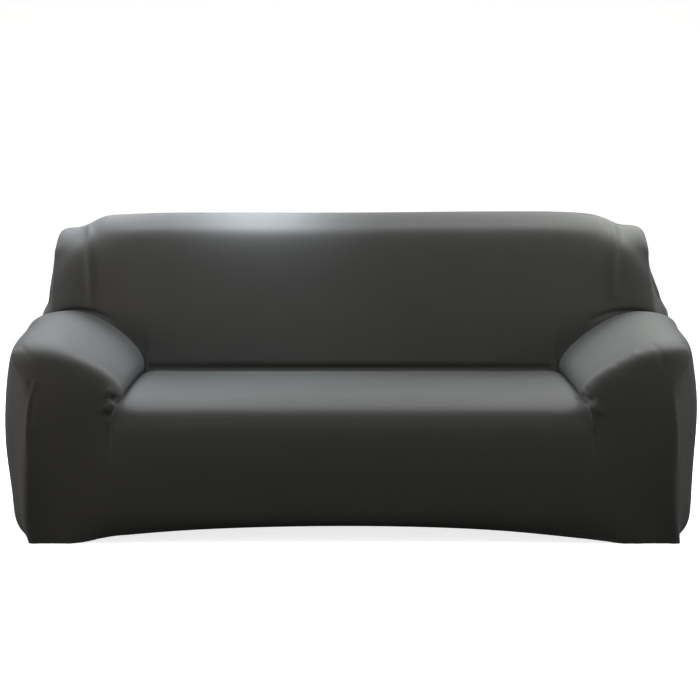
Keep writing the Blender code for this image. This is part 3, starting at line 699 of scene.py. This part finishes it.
# ---- The cover's surface with its folds ----


def facings(points, quads):
    """The way that each quad faces, with twice its area as the length."""
    diagonal_a = points[quads[:, 2]] - points[quads[:, 0]]
    diagonal_b = points[quads[:, 3]] - points[quads[:, 1]]
    return np.cross(diagonal_a, diagonal_b)


def corner_normals(points, quads):
    """The mean direction that the surface faces at each corner."""
    facing = facings(points, quads)
    found = np.zeros_like(points)
    for i in range(4):
        np.add.at(found, quads[:, i], facing)
    return unit(found)


def smooth_curve(knots, steps):
    """Points on a smooth curve through the knots, with steps to each span."""
    knots = np.array(knots, float)
    padded = np.vstack([2 * knots[0] - knots[1], knots, 2 * knots[-1] - knots[-2]])
    points = [knots[0]]
    for i in range(1, len(padded) - 2):
        a, b, c, d = padded[i - 1 : i + 3]
        for k in range(1, steps + 1):
            t = k / steps
            points.append(0.5 * (2 * b + (c - a) * t + (2 * a - 5 * b + 4 * c - d) * t**2
                                 + (3 * b - a - 3 * c + d) * t**3))
    return np.array(points)


def near_curve(points, curve):
    """How far each point is from a curve, its share of the way along it, and the curve's direction there."""
    spans = np.diff(curve, axis=0)
    lengths = np.linalg.norm(spans, axis=1)
    starts = np.append(0.0, np.cumsum(lengths))
    best = np.full(len(points), np.inf)
    share = np.zeros(len(points))
    off = np.zeros_like(points)
    way = np.zeros_like(points)
    for start, span, length, before in zip(curve, spans, lengths, starts):
        t = np.clip((points - start) @ span / length**2, 0, 1)
        apart = points - (start + t[:, None] * span)
        away = np.linalg.norm(apart, axis=1)
        closer = away < best
        best[closer] = away[closer]
        share[closer] = (before + t[closer] * length) / starts[-1]
        off[closer] = apart[closer]
        way[closer] = span / length
    return best, share, off, way


def add_fold(points, facing, moved, knots, half_width, rise, lean=0.0):
    """One soft fold or trough along a line or a smooth curve, highest in its middle.

    A lean gives it a trough on one side.
    """
    curve = smooth_curve(knots, CURVE_STEPS) if len(knots) > 2 else np.array(knots, float)
    reach = FOLD_REACH * half_width
    low, high = curve.min(0) - reach, curve.max(0) + reach
    near = np.flatnonzero(((points > low) & (points < high)).all(1))
    if not len(near):
        raise RuntimeError("a fold lies off the cloth")
    for k, knot in enumerate(curve):
        under = near[np.argmin(((points[near] - knot) ** 2).sum(1))]
        curve[k] += facing[under] * ((points[under] - knot) @ facing[under])
    away, share, off, way = near_curve(points[near], curve)
    side = (off * np.cross(facing[near], way)).sum(1) / half_width
    across = np.exp(-((away / half_width) ** 2)) * (1 + lean * side)
    ends = FOLD_ENDS + (1 - FOLD_ENDS) * np.sin(math.pi * share)
    beyond = np.exp(-((np.abs((off * way).sum(1)) / half_width) ** 2))
    moved[near] += facing[near] * (rise * across * ends * beyond)[:, None]


def waves(along, seed, pitch):
    """An uneven ripple along a line: a few sines whose pitches are near each other."""
    chance = np.random.default_rng(seed)
    total = np.zeros_like(along)
    for _ in range(RIPPLE_WAVES):
        own = pitch * chance.uniform(*WAVE_PITCHES)
        rise = chance.uniform(*WAVE_RISES)
        total += rise * np.sin(2 * math.pi * along / own + chance.uniform(0, 2 * math.pi))
    return total / RIPPLE_WAVES


def add_hem_ripples(points, facing, moved):
    """The elastic draws the hem in, so the cloth over it ripples: most at the corners, less in the middle."""
    for seed, (axis, pitch, most, least) in enumerate(HEM_RIPPLES):
        face = np.abs(facing[:, 1 - axis]) > RIPPLE_FACING
        along = points[:, axis]
        end = np.clip((np.abs(along) / np.abs(along[face]).max()) ** RIPPLE_CORNER_POWER, 0, 1)
        height = np.exp(-np.maximum(points[:, 2], 0) / HEM_RIPPLE_HEIGHT)
        wave = waves(along + RIPPLE_SLANT * points[:, 2], seed, pitch)
        moved += facing * (face * (least + (most - least) * end) * height * wave)[:, None]


@functools.lru_cache
def cover_surface(levels):
    """The cover's outer surface in the object's frame: points, normals, quads, panels and flat layout."""
    cage = fitted_cage()
    smooth = cage.modifiers["smooth"]
    smooth.levels = smooth.render_levels = levels
    bpy.context.view_layer.update()
    mesh = bpy.data.meshes.new_from_object(cage.evaluated_get(bpy.context.evaluated_depsgraph_get()))
    bpy.data.objects.remove(cage)
    points = values_of(mesh.vertices, "co", 3)
    quads = values_of(mesh.polygons, "vertices", 4, int)
    marks = values_of(mesh.polygons, "material_index", 1, int)[:, 0]
    flat = values_of(mesh.uv_layers["cloth"].uv, "vector", 2).reshape(-1, 4, 2)
    facing = corner_normals(points, quads)
    moved = points.copy()
    for start, end, half_width, rise in FOLDS:
        add_fold(points, facing, moved, (start, end), half_width, rise)
    for fold in FINE_FOLDS:
        add_fold(points, facing, moved, *fold)
    add_hem_ripples(points, facing, moved)
    facing = corner_normals(moved, quads)
    moved -= np.array([CENTRE_OUT, CENTRE_DEPTH, 0.0])
    moved[:, 2] = np.maximum(moved[:, 2], 0.0)
    return moved, facing, quads, marks, flat


def quad_sides(corners):
    """The two ends of each side of the quads."""
    return np.concatenate([corners[:, [i, (i + 1) % 4]] for i in range(4)])


def on_rim(ends):
    """Which of the sides have no quad beyond them."""
    count = ends.max() + 1
    return ~np.isin(ends[:, 0] * count + ends[:, 1], ends[:, 1] * count + ends[:, 0])


def panel_mesh(name, settings):
    """One panel as a closed sheet, two faces and the wall round them, and the area of its outer face."""
    points, facing, quads, marks, flat = cover_surface(PANEL_LEVELS.get(name, FINEST_LEVEL))
    chosen = marks == PANELS.index(name)
    flat = flat[chosen]
    used, local = np.unique(quads[chosen], return_inverse=True)
    local = local.reshape(-1, 4)
    outer, facing = points[used].copy(), facing[used]
    ends = quad_sides(local)
    bare = on_rim(ends)
    rim = ends[bare]
    inward = np.zeros_like(outer)
    way = unit(outer[rim[:, 1]] - outer[rim[:, 0]])
    for i in range(2):
        np.add.at(inward, rim[:, i], np.cross(facing[rim[:, i]], way))
    seam = np.zeros(len(outer), bool)
    seam[rim.ravel()] = True
    seam &= outer[:, 2] >= HEM_BELOW
    outer += unit(inward) * settings.seam_width / 2
    outer[seam] -= facing[seam] * settings.seam_sink
    inner = outer - facing * settings.cloth_thickness
    count = len(outer)
    walls = np.hstack([rim[:, ::-1], rim + count])
    sheet = np.vstack([local, local[:, ::-1] + count, walls])
    layout = np.vstack([flat, flat[:, ::-1], quad_sides(flat)[bare][:, [1, 0, 0, 1]]])
    mesh = bpy.data.meshes.new(name)
    mesh.from_pydata(np.vstack([outer, inner]).tolist(), [], sheet.tolist())
    mesh.uv_layers.new(name="cloth").uv.foreach_set("vector", layout.ravel())
    mesh.shade_smooth()
    mesh.set_sharp_from_angle(angle=SHARP_ANGLE)
    return mesh, float(np.linalg.norm(facings(outer, local), axis=1).sum() / 2)


def add_panel(context, name):
    """Makes one panel of knit in the CAD panel's place."""
    settings = context.scene.slipcover
    mesh, area = panel_mesh(name, settings)
    mesh.materials.append(knit_material(settings))
    piece = add_object(context, name + "_cloth", mesh)
    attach(piece, "root")
    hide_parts(name)


# ---- The knit ----

LEG_CLIMB = 1.6  # rows that a stitch's leg climbs over one column
LEG_PLACE = 0.25  # how far a leg's top stands from the middle of its column, in columns
YARN_SWELL = 0.3  # how much the yarn swells and sinks along a leg
TONE_SPREAD = 0.12  # how far the colour goes lighter and darker
FUZZ_TONE = 0.35  # share of the fuzz in the colour's unevenness; the patches have the rest
FUZZ_RELIEF = 0.5  # height of the fuzz beside the stitches' height
RELIEF_DEPTH = 0.0003  # of the knit, in metres


def set_up(made, **values):
    """Sets a node's properties or, by name, its inputs."""
    for key, value in values.items():
        if hasattr(made, key):
            setattr(made, key, value)
        else:
            made.inputs[key.replace("_", " ")].default_value = value


def node(tree, kind, **values):
    """Adds a node and sets it up."""
    made = tree.nodes.new(kind)
    set_up(made, **values)
    return made


def sums(tree, operation, *terms):
    """A Math node on numbers or sockets."""
    made = node(tree, "ShaderNodeMath", operation=operation)
    for i, term in enumerate(terms):
        if isinstance(term, bpy.types.NodeSocket):
            tree.links.new(term, made.inputs[i])
        else:
            made.inputs[i].default_value = term
    return made.outputs[0]


def join(tree, *pairs):
    """Links sockets, in pairs of an output and the input that it goes to."""
    for start, end in pairs:
        tree.links.new(start, end)


def new_group(name, tree_kind, inputs, outputs):
    """A node group whose rows are name, kind and perhaps a default, and its sockets for input and result."""
    tree = bpy.data.node_groups.new(name, tree_kind)
    for way, rows in (("INPUT", inputs), ("OUTPUT", outputs)):
        for label, kind, *default in rows:
            socket = tree.interface.new_socket(name=label, in_out=way, socket_type="NodeSocket" + kind)
            if default:
                socket.default_value = default[0]
    return tree, node(tree, "NodeGroupInput").outputs, node(tree, "NodeGroupOutput").inputs


@functools.lru_cache
def knit_group():
    """Columns of small V stitches along the cloth, and the soft unevenness of a stretched knit."""
    tree, given, result = new_group(
        "jersey_knit",
        "ShaderNodeTree",
        (
            ("Cloth", "Vector"),
            ("Place", "Vector"),
            ("Column width", "Float", 0.0011),
            ("Row height", "Float", 0.0009),
            ("Patch size", "Float", 0.12),
        ),
        (("Height", "Float"), ("Patches", "Float"), ("Fuzz", "Float")),
    )
    maths = functools.partial(sums, tree)
    apart = node(tree, "ShaderNodeSeparateXYZ")
    tree.links.new(given["Cloth"], apart.inputs[0])
    column = maths("DIVIDE", apart.outputs[0], given["Column width"])
    row = maths("DIVIDE", apart.outputs[1], given["Row height"])
    across = maths("ABSOLUTE", maths("SUBTRACT", maths("FRACT", column), 0.5))
    slanted = maths("ADD", row, maths("MULTIPLY", across, LEG_CLIMB))
    off_leg = maths("ABSOLUTE", maths("SUBTRACT", across, LEG_PLACE))
    leg = maths("SUBTRACT", 1.0, maths("MULTIPLY", off_leg, 1 / LEG_PLACE))
    swell = maths("SINE", maths("MULTIPLY", slanted, 2 * math.pi))
    yarn = maths("MULTIPLY_ADD", swell, YARN_SWELL, 1 - YARN_SWELL)
    patches = node(tree, "ShaderNodeTexNoise", Detail=3.0, Roughness=0.55)
    fuzz = node(tree, "ShaderNodeTexNoise", Scale=260.0, Detail=2.0, Roughness=0.6)
    join(
        tree,
        (maths("MULTIPLY", leg, yarn), result["Height"]),
        (given["Place"], patches.inputs["Vector"]),
        (maths("DIVIDE", 1.0, given["Patch size"]), patches.inputs["Scale"]),
        (patches.outputs["Fac"], result["Patches"]),
        (given["Place"], fuzz.inputs["Vector"]),
        (fuzz.outputs["Fac"], result["Fuzz"]),
    )
    return tree


MATERIALS = {}


def knit_material(settings, name="charcoal_knit", colour=None):
    """Dark stretch knit: a fine V texture, soft uneven colour and the sheen of its brushed yarn."""
    if name in MATERIALS:
        return MATERIALS[name]
    colour = colour or settings.cloth_colour
    material = MATERIALS[name] = bpy.data.materials.new(name)
    material.diffuse_color = (*colour, 1.0)
    material.use_nodes = True
    tree = material.node_tree
    shader = tree.nodes["Principled BSDF"]
    set_up(
        shader,
        Roughness=settings.knit_roughness,
        Specular_IOR_Level=settings.knit_gloss,
        Sheen_Weight=settings.sheen,
        Sheen_Roughness=settings.sheen_roughness,
        Sheen_Tint=(*settings.sheen_colour, 1.0),
    )
    knit = node(tree, "ShaderNodeGroup", node_tree=knit_group())
    set_up(knit, Column_width=settings.knit_column, Row_height=settings.knit_row)
    flat = node(tree, "ShaderNodeUVMap", uv_map="cloth")
    place = node(tree, "ShaderNodeTexCoord")
    mix = node(tree, "ShaderNodeMix", data_type="RGBA")
    darker, lighter = mix.inputs[6], mix.inputs[7]
    darker.default_value = (*[c * (1 - TONE_SPREAD) for c in colour], 1.0)
    lighter.default_value = (*[c * (1 + TONE_SPREAD) for c in colour], 1.0)
    patches = sums(tree, "MULTIPLY", knit.outputs["Patches"], 1 - FUZZ_TONE)
    blend = sums(tree, "MULTIPLY_ADD", knit.outputs["Fuzz"], FUZZ_TONE, patches)
    bump = node(tree, "ShaderNodeBump", Strength=settings.knit_relief, Distance=RELIEF_DEPTH)
    height = sums(tree, "MULTIPLY_ADD", knit.outputs["Fuzz"], FUZZ_RELIEF, knit.outputs["Height"])
    join(
        tree,
        (flat.outputs["UV"], knit.inputs["Cloth"]),
        (place.outputs["Object"], knit.inputs["Place"]),
        (blend, mix.inputs["Factor"]),
        (mix.outputs[2], shader.inputs["Base Color"]),
        (height, bump.inputs["Height"]),
        (bump.outputs["Normal"], shader.inputs["Normal"]),
    )
    return material


# ---- The hem's stitching ----


def stitch_tree():
    """Short stitches of thread, laid end to end along a curve a little apart."""
    tree, given, result = new_group(
        "run_of_stitches",
        "GeometryNodeTree",
        (
            ("Geometry", "Geometry"),
            ("Pitch", "Float", 0.0045),
            ("Stitch", "Float", 0.0032),
            ("Thread", "Float", 0.0004),
            ("Material", "Material"),
        ),
        (("Geometry", "Geometry"),),
    )
    path = node(tree, "GeometryNodeMeshToCurve")
    spaced = node(tree, "GeometryNodeResampleCurve", mode="LENGTH")
    spread = node(tree, "GeometryNodeInstanceOnPoints")
    tangent = node(tree, "GeometryNodeInputTangent")
    turned = node(tree, "FunctionNodeAlignRotationToVector", axis="X")
    start = node(tree, "ShaderNodeCombineXYZ")
    end = node(tree, "ShaderNodeCombineXYZ")
    run = node(tree, "GeometryNodeCurveQuadraticBezier", Resolution=4, Middle=(0.0, 0.0, 0.0))
    ring = node(tree, "GeometryNodeCurvePrimitiveCircle", Resolution=5)
    thread = node(tree, "GeometryNodeCurveToMesh", Fill_Caps=True)
    real = node(tree, "GeometryNodeRealizeInstances")
    dyed = node(tree, "GeometryNodeSetMaterial")
    join(
        tree,
        (given["Geometry"], path.inputs["Mesh"]),
        (path.outputs["Curve"], spaced.inputs["Curve"]),
        (given["Pitch"], spaced.inputs["Length"]),
        (spaced.outputs["Curve"], spread.inputs["Points"]),
        (tangent.outputs["Tangent"], turned.inputs["Vector"]),
        (turned.outputs["Rotation"], spread.inputs["Rotation"]),
        (sums(tree, "MULTIPLY", given["Stitch"], 0.5), end.inputs["X"]),
        (sums(tree, "MULTIPLY", given["Stitch"], -0.5), start.inputs["X"]),
        (start.outputs[0], run.inputs["Start"]),
        (end.outputs[0], run.inputs["End"]),
        (run.outputs["Curve"], thread.inputs["Curve"]),
        (given["Thread"], ring.inputs["Radius"]),
        (ring.outputs["Curve"], thread.inputs["Profile Curve"]),
        (thread.outputs["Mesh"], spread.inputs["Instance"]),
        (spread.outputs["Instances"], real.inputs["Geometry"]),
        (real.outputs["Geometry"], dyed.inputs["Geometry"]),
        (given["Material"], dyed.inputs["Material"]),
        (dyed.outputs["Geometry"], result["Geometry"]),
    )
    return tree


def hem_line(height, proud):
    """The hem's edge loop, lifted up the cloth by height and held proud of it."""
    points, _, quads, *_ = cover_surface(FINEST_LEVEL)
    ends = quad_sides(quads)
    ahead = dict(ends[on_rim(ends)].tolist())
    first = next(iter(ahead))
    loop = [first]
    while ahead[loop[-1]] != first:
        loop.append(ahead[loop[-1]])
    surface = BVHTree.FromPolygons(points.tolist(), quads.tolist())
    line = []
    for i in loop:
        at, normal, *_ = surface.find_nearest(Vector(points[i]) + Vector((0, 0, height)))
        line.append(at + normal * proud)
    return line


def add_hem_stitching(context):
    """Sews a run of stitches all round the hem, as one mesh."""
    settings = context.scene.slipcover
    line = hem_line(settings.hem_height, settings.thread_width / 4)
    mesh = bpy.data.meshes.new("hem_line")
    mesh.from_pydata(line, [(i, (i + 1) % len(line)) for i in range(len(line))], [])
    source = add_object(context, "hem_line", mesh)
    sewn = source.modifiers.new("stitches", "NODES")
    sewn.node_group = stitch_tree()
    values = {
        "Pitch": settings.stitch_pitch,
        "Stitch": settings.stitch_length,
        "Thread": settings.thread_width / 2,
        "Material": knit_material(settings, "charcoal_thread", tuple(settings.thread_colour)),
    }
    for item in sewn.node_group.interface.items_tree:
        if item.in_out == "INPUT" and item.name in values:
            sewn[item.identifier] = values[item.name]
    made = bpy.data.meshes.new_from_object(source.evaluated_get(context.evaluated_depsgraph_get()))
    source.modifiers.remove(sewn)
    bpy.data.objects.remove(source)
    if not made.polygons:
        raise RuntimeError("the hem has no stitches")
    made.shade_smooth()
    piece = add_object(context, "hem_stitching", made)
    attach(piece, "root")


# ---- Studio ----


def floor_material(settings):
    """Pale floor that looks near white, and that gives little light back to the cover."""
    material = bpy.data.materials.new("pale_floor")
    material.use_nodes = True
    tree = material.node_tree
    seen = tree.nodes["Principled BSDF"]
    set_up(
        seen,
        Base_Color=(*settings.floor_colour, 1.0),
        Roughness=FLOOR_ROUGHNESS,
        Emission_Color=(1.0, 1.0, 1.0, 1.0),
        Emission_Strength=FLOOR_GLOW,
    )
    dim = node(tree, "ShaderNodeBsdfDiffuse", Color=(FLOOR_BOUNCE, FLOOR_BOUNCE, FLOOR_BOUNCE, 1.0))
    rays = node(tree, "ShaderNodeLightPath")
    mix = node(tree, "ShaderNodeMixShader")
    join(
        tree,
        (rays.outputs["Is Camera Ray"], mix.inputs[0]),
        (dim.outputs[0], mix.inputs[1]),
        (seen.outputs[0], mix.inputs[2]),
        (mix.outputs[0], tree.nodes["Material Output"].inputs["Surface"]),
    )
    return material


def add_floor(context):
    """A pale floor that curves up into a backdrop."""
    profile = [(-FLOOR_REACH, 0.0), (FLOOR_REAR, 0.0)]
    for step in range(1, BEND_STEPS + 1):
        angle = math.pi / 2 * step / BEND_STEPS
        profile.append((FLOOR_REAR + FLOOR_BEND * math.sin(angle), FLOOR_BEND * (1 - math.cos(angle))))
    profile.append((FLOOR_REAR + FLOOR_BEND, BACKDROP_HEIGHT))
    points = [(x, y, z) for y, z in profile for x in (-FLOOR_REACH, FLOOR_REACH)]
    faces = [(2 * i, 2 * i + 1, 2 * i + 3, 2 * i + 2) for i in range(len(profile) - 1)]
    mesh = bpy.data.meshes.new("studio_floor")
    mesh.from_pydata(points, [], faces)
    mesh.shade_smooth()
    mesh.materials.append(floor_material(context.scene.slipcover))
    floor = add_object(context, "studio_floor", mesh)


def add_light(context, name, place, aim, size, spread, power, colour):
    data = bpy.data.lights.new(name, "AREA")
    data.shape = "RECTANGLE"
    data.size, data.size_y = size
    data.spread = math.radians(spread)
    data.energy = power
    data.color = colour
    lamp = add_object(context, name, data)
    lamp.visible_camera = False
    lamp.location = place
    lamp.rotation_euler = (Vector(aim) - Vector(place)).to_track_quat("-Z", "Y").to_euler()


def add_lights(context):
    context.scene.view_settings.view_transform = "Standard"
    world = context.scene.world = bpy.data.worlds.new("studio")
    world.use_nodes = True
    room_light = context.scene.slipcover.room_light
    set_up(world.node_tree.nodes["Background"], Color=ROOM_COLOUR, Strength=room_light)
    for row in LIGHTS:
        add_light(context, *row)


def add_camera(context):
    settings = context.scene.slipcover
    data = bpy.data.cameras.new("camera")
    data.sensor_width = SENSOR_WIDTH
    data.lens = settings.camera_lens
    camera = context.scene.camera = add_object(context, "camera", data)
    camera.location = (-CENTRE_OUT, -settings.camera_distance - CENTRE_DEPTH, settings.camera_height)
    camera.rotation_euler = (math.radians(90) - settings.camera_pitch, 0.0, 0.0)


# ---- Settings, operators and panel ----


def number_setting(name, description, default, **kind):
    return FloatProperty(name=name, description=description, default=default, **kind)


length_setting = functools.partial(number_setting, unit="LENGTH")
share_setting = functools.partial(number_setting, subtype="FACTOR")


def colour_setting(name, description, default):
    return FloatVectorProperty(
        name=name, description=description, default=default, subtype="COLOR", min=0.0, max=1.0
    )


class SlipcoverSettings(bpy.types.PropertyGroup):
    """Sizes and colours of the cover and its studio."""

    cloth_thickness: length_setting("Cloth thickness", "Thickness of the knit sheet", 0.002, min=0.0005)
    cloth_stretch: share_setting("Stretch", "Area on the sofa over the area that was cut", 1.15)
    seam_width: length_setting("Seam width", "Space between two panels at their seam", 0.00004)
    seam_sink: length_setting("Seam depth", "How deep the cloth turns in at a seam", 0.0003)
    hem_height: length_setting("Hem height", "Height of the stitching over the hem", 0.022)
    stitch_pitch: length_setting("Stitch pitch", "Length from stitch to stitch", 0.0046)
    stitch_length: length_setting("Stitch length", "Length of one stitch", 0.0033)
    thread_width: length_setting("Thread width", "Thickness of the thread", 0.0007)
    knit_column: length_setting("Knit column", "Width of a column of stitches", 0.0011)
    knit_row: length_setting("Knit row", "Height of a row of stitches", 0.0009)
    knit_relief: share_setting("Knit relief", "Strength of the knit's relief", 0.25)
    knit_roughness: share_setting("Roughness", "Roughness of the yarn", 0.7)
    knit_gloss: share_setting("Gloss", "Strength of the yarn's reflection", 0.2)
    sheen: share_setting("Sheen", "Strength of the brushed surface's sheen", 0.08)
    sheen_roughness: share_setting("Sheen roughness", "Spread of the sheen", 0.5)
    sheen_colour: colour_setting("Sheen colour", "Colour of the sheen", (0.80, 0.90, 1.0))
    cloth_colour: colour_setting("Cloth colour", "Colour of the knit", (0.0335, 0.0333, 0.0325))
    thread_colour: colour_setting("Thread colour", "Colour of the hem's thread", (0.045, 0.045, 0.045))
    floor_colour: colour_setting("Floor colour", "Colour of the studio floor", (0.80, 0.80, 0.80))
    room_light: number_setting("Room light", "Strength of the light from all round", 0.10)
    camera_lens: number_setting("Lens", "Focal length on a 36 mm sensor", 79.56)
    camera_distance: length_setting("Camera distance", "Distance in front of the cover's face", 4.5)
    camera_height: length_setting("Camera height", "Height over the floor", 1.3)
    camera_pitch: number_setting(
        "Camera pitch", "Angle that the camera looks down", math.radians(8.9), unit="ROTATION"
    )


class SLIPCOVER_OT_front_seat(bpy.types.Operator):
    """Make the one panel of the apron, the arms' fronts and the seat"""

    bl_idname = "slipcover.front_seat"
    bl_label = "Front and seat panel"

    def execute(self, context):
        add_panel(context, "front_seat_panel")
        return {"FINISHED"}


class SLIPCOVER_OT_backs(bpy.types.Operator):
    """Make the inside and the outside panels of the back"""

    bl_idname = "slipcover.backs"
    bl_label = "Back panels"

    def execute(self, context):
        add_panel(context, "inside_back_panel")
        add_panel(context, "outside_back_panel")
        return {"FINISHED"}


class SLIPCOVER_OT_arms(bpy.types.Operator):
    """Make the panels over both arms"""

    bl_idname = "slipcover.arms"
    bl_label = "Arm panels"

    def execute(self, context):
        for side in ("left", "right"):
            add_panel(context, "arm_panel_" + side)
        return {"FINISHED"}


class SLIPCOVER_OT_sides(bpy.types.Operator):
    """Make the panels down both sides"""

    bl_idname = "slipcover.sides"
    bl_label = "Side panels"

    def execute(self, context):
        for side in ("left", "right"):
            add_panel(context, "side_panel_" + side)
        return {"FINISHED"}


class SLIPCOVER_OT_hem_stitching(bpy.types.Operator):
    """Sew the line of stitches that holds the hem's elastic"""

    bl_idname = "slipcover.hem_stitching"
    bl_label = "Hem stitching"

    def execute(self, context):
        add_hem_stitching(context)
        return {"FINISHED"}


class SLIPCOVER_OT_studio(bpy.types.Operator):
    """Set up the pale floor, the soft lights and the camera"""

    bl_idname = "slipcover.studio"
    bl_label = "Studio"

    def execute(self, context):
        add_floor(context)
        add_lights(context)
        add_camera(context)
        return {"FINISHED"}


OPERATORS = (
    SLIPCOVER_OT_front_seat,
    SLIPCOVER_OT_backs,
    SLIPCOVER_OT_arms,
    SLIPCOVER_OT_sides,
    SLIPCOVER_OT_hem_stitching,
    SLIPCOVER_OT_studio,
)


class SLIPCOVER_PT_panel(bpy.types.Panel):
    """Lists the cover's settings and the steps that build it"""

    bl_idname = "SLIPCOVER_PT_panel"
    bl_label = "Stretch slipcover"
    bl_space_type = "VIEW_3D"
    bl_region_type = "UI"
    bl_category = "Slipcover"

    def draw(self, context):
        settings = context.scene.slipcover
        for name in settings.__annotations__:
            self.layout.prop(settings, name)
        for operator in OPERATORS:
            self.layout.operator(operator.bl_idname)


CLASSES = (SlipcoverSettings, *OPERATORS, SLIPCOVER_PT_panel)


def register():
    for cls in CLASSES:
        bpy.utils.register_class(cls)
    bpy.types.Scene.slipcover = PointerProperty(type=SlipcoverSettings)


def unregister():
    del bpy.types.Scene.slipcover
    for cls in reversed(CLASSES):
        bpy.utils.unregister_class(cls)


def main():
    register()
    for operator in OPERATORS:
        family, name = operator.bl_idname.split(".")
        getattr(getattr(bpy.ops, family), name)()


if __name__ == "__main__":
    main()
